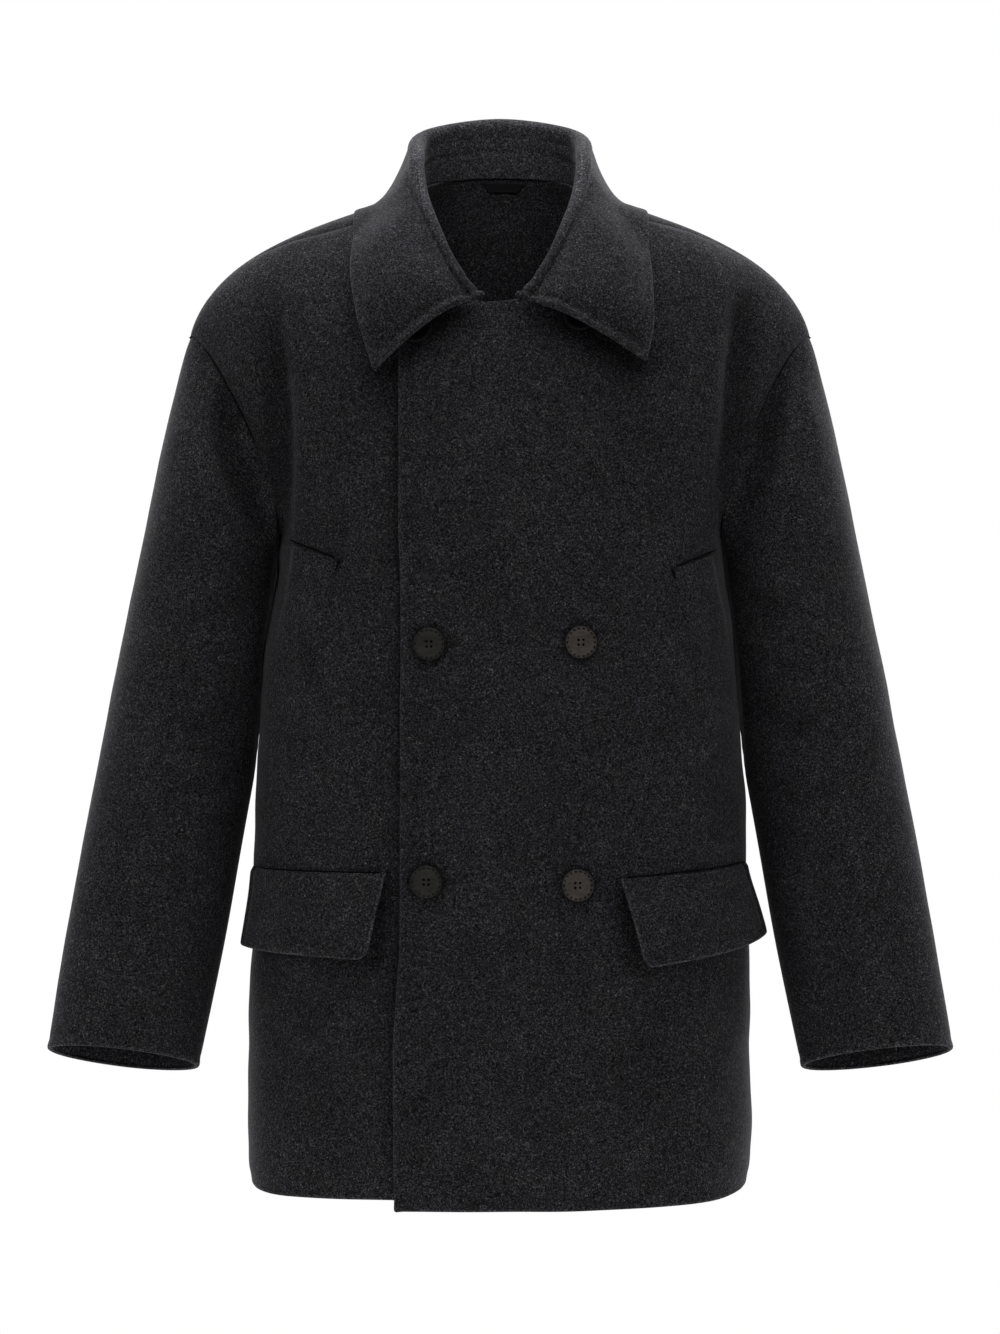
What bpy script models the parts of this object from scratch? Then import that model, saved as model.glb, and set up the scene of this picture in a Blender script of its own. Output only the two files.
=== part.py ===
"""Double-breasted wool jacket, hollow as worn: two crossed fronts, back, sleeves, collar, pockets, buttons.

Metres, +Z up, front towards -Y, the wearer's left towards +X.  The origin is at the base of the neck.
"""
import math

import bmesh
import bpy
import numpy as np
from mathutils import Vector
from mathutils.bvhtree import BVHTree

# ---- driving dimensions ------------------------------------------------------------------------
HEM_Z = -0.845            # hem of the overlapping front at the centre
UNDERARM_Z = -0.285       # lowest point of the armhole
WALL = 0.0025             # one layer of melton
COLLAR_WALL = 0.0030      # collar cloth, two layers pressed
SEAM = 0.0003             # gap between sewn pieces
LAP_LIFT = 0.0050         # how far the overlapping front lies above the form
LAP_X = 0.086             # reach of each front past the centre line
FRONT_NECK_Z = -0.0965    # top edge of the fronts
BUTTON_RADIUS = 0.0131
BUTTON_THICKNESS = 0.0042

# Body rings from the hem up to the underarm: half width, depth in front and behind, squareness.
RING_NAMES = ("z", "half_width", "front", "back", "square_front", "square_side")
RINGS = (
    (-0.845, 0.2145, 0.1340, 0.1360, 0.72, 0.66),
    (-0.790, 0.2160, 0.1375, 0.1390, 0.72, 0.66),
    (-0.640, 0.2130, 0.1400, 0.1390, 0.74, 0.66),
    (-0.500, 0.2095, 0.1400, 0.1340, 0.74, 0.68),
    (-0.390, 0.2020, 0.1390, 0.1330, 0.76, 0.72),
    (-0.285, 0.1900, 0.1370, 0.1370, 0.78, 0.78),
)

# Shoulder ridge in the XZ plane (cubic Bezier), from the side of the neck to the top of the armhole.
NECK_SIDE = (0.0722, 0.0090)
SHOULDER_TIP = (0.2680, -0.1145)
RIDGE_CONTROLS = ((0.1550, -0.0170), (0.2480, -0.0405))
RIDGE_Y = 0.004
NECK_SHARE = 0.100        # part of the half girth that ends in the neckline
NECK_DROP = 0.060         # extra drop of the columns that end in the neckline

# Where each face of the yoke goes between the underarm ring and the ridge: straight rise from
# the ring, flare at the side, depth and fullness below the ridge, and scoop of the armhole.
YOKE_NAMES = ("rise", "flare", "depth", "full", "scoop")
YOKE = {
    "front": (0.085, 0.045, 0.110, 0.006, 0.220),
    "back": (0.135, 0.045, 0.128, 0.018, 0.195),
}
SHOULDER_DROP = 0.012     # drop of the surface beside the ridge at the shoulder tip
SCOOP_PEAK = 0.26         # share of the way up the armhole where it is scooped most
NECK_TOP_FRONT = (-0.058, 0.002)   # y, z that the front form reaches above the neckline
NECK_TOP_BACK = (0.0880, 0.0370)   # y, z of the back neck seam at the centre

# Sleeve rings from the armhole to the cuff: outer and inner edge, middle, half depth, cuff tilt.
SLEEVE_NAMES = ("outer_x", "outer_z", "inner_x", "inner_z", "middle_y", "half_depth", "tilt")
SLEEVE = (
    (0.2680, -0.1145, 0.1900, -0.2850, 0.000, 0.060, 0.00),
    (0.2830, -0.1750, 0.1900, -0.3080, 0.002, 0.074, 0.02),
    (0.2990, -0.2500, 0.1910, -0.3450, 0.002, 0.080, 0.04),
    (0.3165, -0.3370, 0.1965, -0.4050, 0.000, 0.080, 0.06),
    (0.3350, -0.4300, 0.2085, -0.4760, -0.004, 0.074, 0.08),
    (0.3515, -0.5190, 0.2210, -0.5480, -0.012, 0.066, 0.12),
    (0.3675, -0.6130, 0.2355, -0.6340, -0.024, 0.058, 0.19),
    (0.3840, -0.7225, 0.2560, -0.7365, -0.040, 0.053, 0.27),
)
ARM_GAP = 0.0025          # between a sleeve and the side of the body
ARM_REACH = 0.100         # depth over which the sleeve lies along the body

# Collar sections from the front end round to the centre back, in millimetres.  Columns: neck seam;
# top of the fold; radius of the fold; point the leaf curves round; outer edge; share at the joint.
COLLAR_LEFT = (
    ((15.5, -122.0, -95.5), (18.0, -128.5, -93.0), 4.4, (47.0, -137.0, -96.0), (120.5, -143.0, -147.0), 0.53),
    ((39.0, -103.5, -71.0), (38.5, -109.0, -61.0), 4.8, (88.0, -145.0, -70.0), (127.0, -134.0, -116.0), 0.45),
    ((56.0, -76.0, -41.0), (57.0, -80.0, -20.0), 5.4, (92.0, -108.0, -32.0), (126.5, -104.0, -72.0), 0.35),
    ((62.5, -45.0, -18.0), (68.5, -48.0, 10.0), 6.2, (90.0, -62.0, -10.0), (124.0, -58.0, -32.0), 0.27),
    ((66.5, -8.0, 8.0), (73.0, -10.0, 43.5), 7.0, (95.0, -10.0, 0.0), (122.5, -4.0, -6.0), 0.24),
    ((60.0, 50.0, 28.0), (66.0, 55.0, 73.0), 7.0, (84.0, 70.0, 26.0), (102.0, 82.0, -14.0), 0.23),
    ((0.0, 82.0, 38.0), (0.0, 90.0, 88.0), 7.0, (0.0, 108.0, 48.0), (0.0, 118.0, 6.0), 0.23),
)
# The other side differs only in how its leaf falls: bend and edge of the first sections.
LEAF_RIGHT = (
    ((41.0, -134.0, -91.0), (104.0, -143.0, -155.5)),
    ((82.0, -142.0, -68.0), (117.5, -134.0, -112.0)),
    ((91.0, -107.0, -31.0), (125.0, -104.0, -69.0)),
)

# Pockets on the form, by x and z in front.  Columns: inner and outer corner of the top, inner and
# outer corner of the foot; a flap also has its stand-off at the two corners of the foot.
FLAPS = {
    "flap_right": ((0.0925, -0.5665), (0.2070, -0.5665), (0.1060, -0.6370), (0.2080, -0.6330), 0.008, 0.009),
    "flap_left": ((0.0970, -0.5710), (0.2060, -0.5620), (0.1130, -0.6435), (0.2085, -0.6230), 0.012, 0.014),
}
WELTS = {
    "welt_right": ((0.1330, -0.3085), (0.1755, -0.2915), (0.1570, -0.4100), (0.1935, -0.3960)),
    "welt_left": ((0.1395, -0.3160), (0.1790, -0.3000), (0.1625, -0.4170), (0.1975, -0.4030)),
}

# Button centres: x, z.  The right column goes through the fronts' buttonholes.
BUTTONS = {
    "button_right_top": (-0.0690, -0.1195),
    "button_left_top": (0.0660, -0.1095),
    "button_right_middle": (-0.0575, -0.3790),
    "button_left_middle": (0.0655, -0.3776),
    "button_right_low": (-0.0595, -0.5736),
    "button_left_low": (0.0626, -0.5763),
}

# Columns and rows of the cloth grids.
BODY_ROWS = 7
YOKE_ROWS = 7
NECK_COLUMNS = (0.0, 0.022, 0.044, 0.064, 0.083, 0.100)
SIDE_COLUMNS = 9
SLEEVE_SIDES = 20
SLEEVE_RINGS = 11
CAP_ROWS = 1.6            # rows of the sleeve table over which the armhole's shape fades
COLLAR_STEPS = 3
STAND_SHARES = (0.0, 0.30, 0.56, 0.66, 0.76, 0.87, 0.975, 1.0)
FALL_SHARES = (0.0, 0.02, 0.06, 0.12, 0.18, 0.24, 0.32, 0.48, 0.64, 0.82, 1.0)
STAND_END = 0.30          # where the collar's fold starts and ends along a section
FOLD_END = 0.44
JOINT_GAP = 0.0150        # as a share of the section
LEAF_CLEARANCE = 0.0035
LAP_FADE_S = (0.32, 0.77)       # where the lap's lift fades across and up the front
LAP_FADE_LEVEL = (0.72, 1.00)
HEM_SIDE_RISE = 0.0040
HEM_UNDERLAP_RISE = 0.0085
ARMHOLE_GAP = 0.0025      # between the armhole's edge and the sleeve's head
POCKET_GAP = 0.0018       # under a flap or a welt
ROUND_HEIGHT = 0.25       # share of a flap's height in its rounded corners
ROUND_WIDTH = 0.06        # and of its width
FLAP_GRID = (10, 5)
WELT_GRID = (3, 5)

TAB_MIDDLE = 0.0035
TAB_TOP = 0.0205
TAB_FOOT = 0.0145
TAB_HEIGHT = 0.055        # height and drop as shares of the yoke's level
TAB_DROP = 0.015
TAB_CLEARANCE = 0.0045
TAB_WALL = 0.0010

BUTTON_SIDES = 20
BUTTON_CLEARANCE = 0.0008
HOLE_RADIUS = 0.0011
HOLE_OFFSET = 0.0025

COLOURS = {
    "melton": (0.0125, 0.0125, 0.0140, 1.0),
    "tab": (0.0100, 0.0100, 0.0110, 1.0),
    "horn": (0.0180, 0.0140, 0.0115, 1.0),
}


# ---- curves and the form -----------------------------------------------------------------------
def bezier(t, *points):
    """Point at t on the Bezier curve of any number of control points."""
    rows = [np.asarray(p, dtype=float) for p in points]
    while len(rows) > 1:
        rows = [a * (1.0 - t) + b * t for a, b in zip(rows, rows[1:])]
    return rows[0]


def smooth_row(table, t):
    """Catmull-Rom value of a table of numbers at t in rows."""
    last = len(table) - 1
    i = min(int(t), last - 1)
    f = t - i
    rows = [np.asarray(table[min(max(k, 0), last)], dtype=float) for k in (i - 1, i, i + 1, i + 2)]
    a, b, c, d = rows
    return 0.5 * (2 * b + (c - a) * f + (2 * a - 5 * b + 4 * c - d) * f**2 + (3 * b - a - 3 * c + d) * f**3)


def smoothstep(x):
    x = min(max(x, 0.0), 1.0)
    return x * x * (3.0 - 2.0 * x)


def ring_at(z):
    """Sizes of the body ring at height z."""
    heights = [row[0] for row in RINGS]
    z = min(max(z, heights[0]), heights[-1])
    i = max(k for k in range(len(RINGS) - 1) if heights[k] <= z)
    t = i + (z - heights[i]) / (heights[i + 1] - heights[i])
    return dict(zip(RING_NAMES, smooth_row(RINGS, t)))


def quarter(s, ring, depth):
    """x and y of a ring at s, from 0 at the centre line to 1 at the side."""
    width = ring["half_width"]
    corners = ((0.0, depth), (ring["square_front"] * width, depth),
               (width, ring["square_side"] * depth), (width, 0.0))
    return bezier(s, *corners)


def ridge(s, face):
    """Top end of the form's column at s: shoulder ridge, and the neck inside it."""
    if s >= NECK_SHARE:
        t = (s - NECK_SHARE) / (1.0 - NECK_SHARE)
        x, z = bezier(t**0.85, NECK_SIDE, *RIDGE_CONTROLS, SHOULDER_TIP)
        return np.array((x, RIDGE_Y, z))
    t = s / NECK_SHARE
    top_y, top_z = NECK_TOP_FRONT if face == "front" else NECK_TOP_BACK
    x = NECK_SIDE[0] * math.sin(0.5 * math.pi * t)
    turn = math.cos(0.5 * math.pi * t)
    return np.array((x, RIDGE_Y + (top_y - RIDGE_Y) * turn, NECK_SIDE[1] + (top_z - NECK_SIDE[1]) * turn))


def form(s, level, face):
    """Point of the jacket's form. s: -1 to 1 across; level: -1 hem, 0 underarm, 1 shoulder ridge."""
    side = -1.0 if s < 0.0 else 1.0
    s = abs(s)
    sign = -1.0 if face == "front" else 1.0
    ring = ring_at(UNDERARM_Z + min(level, 0.0) * (UNDERARM_Z - HEM_Z))
    x, y = quarter(s, ring, ring[face])
    if level <= 0.0:
        z = UNDERARM_Z + level * (UNDERARM_Z - HEM_Z)
        return np.array((side * x, sign * y, z))
    yoke = dict(zip(YOKE_NAMES, YOKE[face]))
    top = ridge(s, face)
    start = np.array((x, sign * y, UNDERARM_Z))
    up = start + np.array((yoke["flare"] * s**4, 0.0, yoke["rise"] * (1.0 - 0.5 * s**3)))
    neck = 1.0 - smoothstep(s / (1.4 * NECK_SHARE))
    shoulder = yoke["full"] * (1.0 - s) - SHOULDER_DROP * s - NECK_DROP * neck
    over = np.array((top[0], sign * yoke["depth"] * (max(y, 0.0) / ring[face])**0.6, top[2] + shoulder))
    point = bezier(level, start, up, over, top)
    return np.array((side * point[0], point[1], point[2]))


def form_normal(s, level, face):
    """Outward normal of the form."""
    step = 1e-4
    across = form(s + step, level, face) - form(s - step, level, face)
    upward = form(s, level + step, face) - form(s, level - step, face)
    normal = np.cross(across, upward)
    if face == "back":
        normal = -normal
    return normal / np.linalg.norm(normal)


def column_at(x, level):
    """s of the front form that lies at x on a level."""
    low, high = 0.0, 1.0
    for _ in range(40):
        middle = 0.5 * (low + high)
        if form(middle, level, "front")[0] < abs(x):
            low = middle
        else:
            high = middle
    return math.copysign(0.5 * (low + high), x)


def level_at(s, z):
    """Level of the front form's column s at height z."""
    low, high = -1.1, 1.0
    for _ in range(40):
        middle = 0.5 * (low + high)
        if form(s, middle, "front")[2] < z:
            low = middle
        else:
            high = middle
    return 0.5 * (low + high)


def spot(x, z):
    """s and level of the place on the front form seen at x, z."""
    s = 0.4
    level = level_at(s, z)
    for _ in range(6):
        s = column_at(x, level)
        level = level_at(s, z)
    return s, level


def lap_lift(s, level):
    """How far the overlapping front lies above the form."""
    across = (s - LAP_FADE_S[0]) / (LAP_FADE_S[1] - LAP_FADE_S[0])
    up = (level - LAP_FADE_LEVEL[0]) / (LAP_FADE_LEVEL[1] - LAP_FADE_LEVEL[0])
    return LAP_LIFT * (1.0 - smoothstep(across)) * (1.0 - smoothstep(up))


def armhole(angle, face):
    """s and level on the armhole: angle 0 at the underarm, pi at the shoulder tip."""
    share = angle / math.pi
    scoop = dict(zip(YOKE_NAMES, YOKE[face]))["scoop"]
    curve = (share / SCOOP_PEAK)**0.7 * ((1.0 - share) / (1.0 - SCOOP_PEAK))**2
    return 1.0 - scoop * curve, (1.0 - math.cos(angle)) / 2.0


# ---- meshes ------------------------------------------------------------------------------------
def material(name):
    made = bpy.data.materials.new(name)
    made.use_nodes = True
    shader = made.node_tree.nodes["Principled BSDF"]
    shader.inputs["Base Color"].default_value = COLOURS[name]
    shader.inputs["Roughness"].default_value = 0.45 if name == "horn" else 0.95
    shader.inputs["Metallic"].default_value = 0.0
    return made


def finish_mesh(bm, name, collection, paint):
    mesh = bpy.data.meshes.new(name)
    bm.to_mesh(mesh)
    bm.free()
    mesh.materials.append(paint)
    mesh.shade_smooth()
    made = bpy.data.objects.new(name, mesh)
    collection.objects.link(made)
    return made


def cloth(name, columns, rows, point, wall, collection, paint, tube=False):
    """A grid of columns by rows, moved to point(column, row), with a wall behind its outer face."""
    bm = bmesh.new()
    bmesh.ops.create_grid(bm, x_segments=columns, y_segments=rows, size=0.5)
    for vert in bm.verts:
        vert.co = point(round((vert.co.x + 0.5) * columns), round((vert.co.y + 0.5) * rows))
    if tube:
        bmesh.ops.remove_doubles(bm, verts=bm.verts, dist=1e-6)
    made = finish_mesh(bm, name, collection, paint)
    solid = made.modifiers.new("wall", "SOLIDIFY")
    solid.thickness = wall
    solid.offset = -1.0
    solid.use_even_offset = True
    solid.thickness_clamp = 0.0
    return made


# ---- body --------------------------------------------------------------------------------------
def neck_level(s):
    """Top level of a front's column: shoulder ridge, neckline, or the straight top edge."""
    if s >= NECK_SHARE:
        return 1.0
    centre = level_at(0.0, FRONT_NECK_Z)
    if s <= 0.0:
        return level_at(s, FRONT_NECK_Z)
    return centre + (1.0 - centre) * (1.0 - math.sqrt(1.0 - (s / NECK_SHARE)**2.4))


def panel_place(columns, column, row, face, tops):
    """s and level of a grid point of a body panel; tops: level of each column's end."""
    s = columns[column]
    if row <= BODY_ROWS:
        return s, -1.0 + row / BODY_ROWS
    climb = (row - BODY_ROWS) / YOKE_ROWS
    share = (s - columns[0]) / (1.0 - columns[0])
    s_out, level_out = armhole(math.pi * climb, face)
    weight = share**3
    level = tops[column] * ((1.0 - weight) * climb + weight * level_out)
    return s - (1.0 - s_out) * share**2, level


def hem_rise(s, row, underlap):
    """Rise of the lowest rows: the hem is level in front, higher at the sides and on the underlap."""
    if row > 1:
        return 0.0
    rise = HEM_SIDE_RISE * smoothstep(abs(s))
    if underlap:
        rise = HEM_UNDERLAP_RISE + (HEM_SIDE_RISE - HEM_UNDERLAP_RISE) * smoothstep(s)
    return rise * (1.0 - 0.5 * row)


def half_columns(first):
    """Columns in s from those given at the middle out to the side seam."""
    outer = [NECK_SHARE + (1.0 - NECK_SHARE) * k / SIDE_COLUMNS for k in range(1, SIDE_COLUMNS + 1)]
    return list(first) + list(NECK_COLUMNS) + outer


def front(name, side, overlap, collection, paint):
    """One front: from its edge past the centre line to the side seam, armhole and shoulder."""
    edge = -column_at(LAP_X, -0.3)
    columns = half_columns((edge, 0.5 * edge))
    tops = [neck_level(s) for s in columns]

    def point(column, row):
        index = column if side > 0 else len(columns) - 1 - column
        s, level = panel_place(columns, index, row, "front", tops)
        place = form(s, level, "front")
        if overlap:
            place = place + form_normal(s, level, "front") * lap_lift(s, level)
        place[2] += hem_rise(s, row, not overlap)
        place[0] *= side
        return place

    return cloth(name, len(columns) - 1, BODY_ROWS + YOKE_ROWS, point, WALL, collection, paint)


def back(collection, paint):
    """The back, in one piece."""
    columns = half_columns(())
    tops = [1.0] * len(columns)
    last = len(columns) - 1

    def point(column, row):
        s, level = panel_place(columns, abs(column - last), row, "back", tops)
        place = form(s, level, "back")
        place[2] += hem_rise(s, row, False)
        place[0] *= 1.0 if column < last else -1.0
        return place

    return cloth("back", 2 * last, BODY_ROWS + YOKE_ROWS, point, WALL, collection, paint)


def trim_seams(made, sign):
    """Bake the wall of a body panel and keep it on its own side of the side and shoulder seams."""
    graph = bpy.context.evaluated_depsgraph_get()
    mesh = bpy.data.meshes.new_from_object(made.evaluated_get(graph))
    made.modifiers.clear()
    for vert in mesh.vertices:
        seam_y = RIDGE_Y if vert.co.z > UNDERARM_Z + RIDGE_Y else 0.0
        vert.co.y = seam_y + sign * max(sign * (vert.co.y - seam_y), 0.5 * SEAM)
    made.data = mesh


# ---- sleeves -----------------------------------------------------------------------------------
def sleeve_ring(t, angle):
    """Point of the sleeve's ring at t rows of the table; angle 0 outside, pi/2 in front."""
    row = dict(zip(SLEEVE_NAMES, smooth_row(SLEEVE, t)))
    outer = np.array((row["outer_x"], row["middle_y"], row["outer_z"]))
    inner = np.array((row["inner_x"], row["middle_y"], row["inner_z"]))
    forward = row["half_depth"] * np.array((0.0, -1.0, row["tilt"]))
    return 0.5 * (outer + inner) + 0.5 * (outer - inner) * math.cos(angle) + forward * math.sin(angle)


def armhole_point(angle):
    """Point of the armhole loop; angle 0 at the shoulder tip, pi/2 in front, pi at the underarm."""
    face = "front" if angle <= math.pi else "back"
    return form(*armhole(abs(math.pi - angle), face), face)


def body_side(y, z):
    """x of the side of the body at depth y, below the underarm."""
    ring = ring_at(z)
    depth = ring["front" if y < 0.0 else "back"]
    low, high = 0.0, 1.0
    for _ in range(30):
        middle = 0.5 * (low + high)
        if quarter(middle, ring, depth)[1] > abs(y):
            low = middle
        else:
            high = middle
    return quarter(low, ring, depth)[0]


def beside_body(place):
    """The point, moved out to the arm gap from the side of the body."""
    if place[2] < UNDERARM_Z and abs(place[1]) < ARM_REACH:
        place[0] = max(place[0], body_side(place[1], place[2]) + ARM_GAP)
    return place


def sleeve(name, side, collection, paint):
    """A tube from the armhole to the cuff."""
    def point(column, row):
        turn = column / SLEEVE_SIDES if side < 0 else 1.0 - column / SLEEVE_SIDES
        angle = 2.0 * math.pi * (turn % 1.0)
        t = (len(SLEEVE) - 1) * (1.0 - row / SLEEVE_RINGS)
        fade = 1.0 - smoothstep(t / CAP_ROWS)
        place = sleeve_ring(t, angle) + (armhole_point(angle) - sleeve_ring(0.0, angle)) * fade
        place = beside_body(place)
        if row == SLEEVE_RINGS:
            ahead = sleeve_ring(0.5, angle) - place
            place = beside_body(place + ahead / np.linalg.norm(ahead) * ARMHOLE_GAP)
        place[0] *= side
        return place

    return cloth(name, SLEEVE_SIDES, SLEEVE_RINGS, point, WALL, collection, paint, tube=True)


# ---- collar ------------------------------------------------------------------------------------
def collar_rows(side):
    """Collar sections as flat rows, with the one past the centre back mirrored."""
    rows = [list(row) for row in COLLAR_LEFT]
    if side < 0:
        for row, (bend, edge) in zip(rows, LEAF_RIGHT):
            row[3], row[4] = bend, edge
    rows = [[*seam, *roll, *bend, *edge, radius, joint] for seam, roll, radius, bend, edge, joint in rows]
    past = [-value if k in (0, 3, 6, 9) else value for k, value in enumerate(rows[-2])]
    return rows + [past]


def collar_point(t, p, side):
    """Visible face of the collar; t in sections from the front end, p from the neck seam to the edge."""
    rows = collar_rows(side)
    row = smooth_row(rows, t) / 1000.0
    seam, roll, bend, edge, radius = row[0:3], row[3:6], row[6:9], row[9:12], row[12]
    ahead = smooth_row(rows, t + 0.05)[3:6] - smooth_row(rows, max(t - 0.05, 0.0))[3:6]
    up = (roll - seam) / np.linalg.norm(roll - seam)
    out = np.cross(ahead, up)
    out = out / np.linalg.norm(out)
    centre = roll - up * radius
    if p <= STAND_END:
        place = bezier(p / STAND_END, seam, centre - out * radius)
    elif p <= FOLD_END:
        turn = math.pi * (p - STAND_END) / (FOLD_END - STAND_END)
        place = centre + radius * (up * math.sin(turn) - out * math.cos(turn))
    else:
        place = bezier((p - FOLD_END) / (1.0 - FOLD_END), centre + out * radius, bend, edge)
    return np.array((side * place[0], place[1], place[2]))


def surface_tree(objects):
    """Search tree over the outer faces of cloth grids."""
    verts = []
    faces = []
    for made in objects:
        first = len(verts)
        verts += [vert.co.copy() for vert in made.data.vertices]
        faces += [[first + index for index in face.vertices] for face in made.data.polygons]
    return BVHTree.FromPolygons(verts, faces)


def lay_on(place, tree, height):
    """The point, moved out to at least height above the cloth below it."""
    near, normal, _, distance = tree.find_nearest(Vector(place))
    above = (Vector(place) - near).dot(normal)
    if distance > 0.05 or above >= height:
        return place
    return np.array(Vector(place) + normal * (height - above))


def collar_piece(name, shares, joint_side, body, collection, paint):
    """Stand (joint_side -1) or fall (joint_side 1) as shares of the way along each section."""
    half = COLLAR_STEPS * (len(COLLAR_LEFT) - 1)

    def point(column, row):
        side = -1.0 if column < half else 1.0
        t = min(column, 2 * half - column) / COLLAR_STEPS
        joint = smooth_row(collar_rows(side), t)[13]
        if joint_side < 0:
            p = shares[row] * (joint - JOINT_GAP)
        else:
            p = joint + JOINT_GAP + shares[row] * (1.0 - joint - JOINT_GAP)
        place = collar_point(t, p, side)
        if p > FOLD_END:
            place = lay_on(place, body, COLLAR_WALL + LEAF_CLEARANCE)
        return place

    return cloth(name, 2 * half, len(shares) - 1, point, COLLAR_WALL, collection, paint)


# ---- pockets, tab and buttons ------------------------------------------------------------------
def patch_point(corners, across, up):
    """s and level between four corners of a patch: top inner, top outer, foot inner, foot outer."""
    top_inner, top_outer, foot_inner, foot_outer = corners
    top = top_inner + (top_outer - top_inner) * across
    foot = foot_inner + (foot_outer - foot_inner) * across
    return foot + (top - foot) * up


def on_front(s, level, side, height):
    """Point at a height above the front of one side."""
    lift = lap_lift(s, level) if side > 0 else 0.0
    place = form(s, level, "front") + form_normal(s, level, "front") * (lift + height)
    return np.array((side * place[0], place[1], place[2]))


def pocket_piece(name, corners, lifts, round_share, grid, collection, paint):
    """A flap or a welt lying on its front, standing off by lifts at its inner and outer foot."""
    side = 1.0 if name.endswith("left") else -1.0
    columns, rows = grid
    corners = [np.array(spot(x, z)) for x, z in corners]

    def point(column, row):
        across = column / columns if side > 0 else 1.0 - column / columns
        up = row / rows
        low = max(1.0 - up / ROUND_HEIGHT, 0.0)
        pinch = round_share * (1.0 - math.sqrt(1.0 - low * low))
        across = 0.5 + (across - 0.5) * (1.0 - 2.0 * pinch)
        s, level = patch_point(corners, across, up)
        stand_off = (lifts[0] + (lifts[1] - lifts[0]) * across) * (1.0 - up)**1.3
        return on_front(s, level, side, WALL + POCKET_GAP + stand_off)

    return cloth(name, columns, rows, point, WALL, collection, paint)


def neck_tab(collection, paint):
    """Blank tab inside the back, under the neck seam."""
    columns, rows = 4, 2

    def point(column, row):
        up = row / rows
        half = TAB_FOOT + (TAB_TOP - TAB_FOOT) * up
        x = TAB_MIDDLE + half * (2.0 * column / columns - 1.0)
        level = 1.0 - TAB_DROP - TAB_HEIGHT * (1.0 - up)
        s = NECK_SHARE * 2.0 / math.pi * math.asin(abs(x) / NECK_SIDE[0])
        place = form(s, level, "back") - form_normal(s, level, "back") * (WALL + TAB_CLEARANCE)
        place[0] = math.copysign(place[0], x)
        return place

    return cloth("neck_tab", columns, rows, point, TAB_WALL, collection, paint)


def button_mesh(cutters, paint):
    """A turned button with a raised rim and four holes."""
    radius, thick = BUTTON_RADIUS, BUTTON_THICKNESS
    profile = ((0.0, 0.80 * thick), (0.72 * radius, 0.80 * thick), (0.80 * radius, thick),
               (0.93 * radius, thick), (radius, 0.70 * thick), (radius, 0.35 * thick),
               (0.90 * radius, 0.0), (0.0, 0.0))
    bm = bmesh.new()
    verts = [bm.verts.new((r, 0.0, z)) for r, z in profile]
    for first, second in zip(verts, verts[1:]):
        bm.edges.new((first, second))
    turned = finish_mesh(bm, "button_blank", cutters, paint)
    screw = turned.modifiers.new("turn", "SCREW")
    screw.steps = BUTTON_SIDES
    screw.render_steps = BUTTON_SIDES
    screw.use_merge_vertices = True
    screw.merge_threshold = 0.00005
    bm = bmesh.new()
    for x in (-1.0, 1.0):
        for y in (-1.0, 1.0):
            hole = bmesh.ops.create_cone(bm, cap_ends=True, segments=8, radius1=HOLE_RADIUS,
                                         radius2=HOLE_RADIUS, depth=4.0 * thick)
            bmesh.ops.translate(bm, verts=hole["verts"], vec=(x * HOLE_OFFSET, y * HOLE_OFFSET, 0.0))
    drill = finish_mesh(bm, "button_holes", cutters, paint)
    drill.hide_render = True
    drill.display_type = "WIRE"
    cut = turned.modifiers.new("holes", "BOOLEAN")
    cut.object = drill
    cut.operation = "DIFFERENCE"
    bpy.context.view_layer.update()
    mesh = bpy.data.meshes.new_from_object(turned.evaluated_get(bpy.context.evaluated_depsgraph_get()))
    for spare in (turned, drill):
        bpy.data.objects.remove(spare)
    mesh.name = "button"
    mesh.set_sharp_from_angle(angle=math.radians(35.0))
    return mesh


def button(name, mesh, collection):
    """One button on the overlapping front."""
    x, z = BUTTONS[name]
    s, level = spot(x, z)
    place = form(s, level, "front")
    normal = form_normal(s, level, "front")
    place = place + normal * (lap_lift(s, level) + BUTTON_CLEARANCE)
    made = bpy.data.objects.new(name, mesh)
    made.rotation_euler = Vector(normal).to_track_quat("Z", "Y").to_euler()
    made.location = place
    collection.objects.link(made)
    return made


# ---- build -------------------------------------------------------------------------------------
def main():
    for old in list(bpy.data.objects):
        bpy.data.objects.remove(old)
    parts = bpy.data.collections.new("wool_jacket")
    cutters = bpy.data.collections.new("cutters")
    for collection in (parts, cutters):
        bpy.context.scene.collection.children.link(collection)
    melton, tab, horn = (material(name) for name in ("melton", "tab", "horn"))

    body = [front("front_left", 1.0, True, parts, melton),
            front("front_right", -1.0, False, parts, melton),
            back(parts, melton)]
    for name, side in (("sleeve_left", 1.0), ("sleeve_right", -1.0)):
        sleeve(name, side, parts, melton)
    tree = surface_tree(body)
    for panel, sign in zip(body, (-1.0, -1.0, 1.0)):
        trim_seams(panel, sign)
    collar_piece("collar_stand", STAND_SHARES, -1, tree, parts, melton)
    collar_piece("collar_fall", FALL_SHARES, 1, tree, parts, melton)
    for name, row in FLAPS.items():
        pocket_piece(name, row[:4], row[4:], ROUND_WIDTH, FLAP_GRID, parts, melton)
    for name, corners in WELTS.items():
        pocket_piece(name, corners, (0.0, 0.0), 0.0, WELT_GRID, parts, melton)
    neck_tab(parts, tab)
    mesh = button_mesh(cutters, horn)
    for name in BUTTONS:
        button(name, mesh, parts)


main()
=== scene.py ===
"""Looks of a double-breasted wool jacket, hollow as worn: creased cloth with sewn edges, buttons and a stage.

Metres, +Z up, front towards -Y, the wearer's left towards +X, origin at the base of the neck.
"""
import functools
import math

import bmesh
import bpy
import numpy as np
from mathutils import Matrix, Vector
from mathutils.bvhtree import BVHTree


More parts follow.
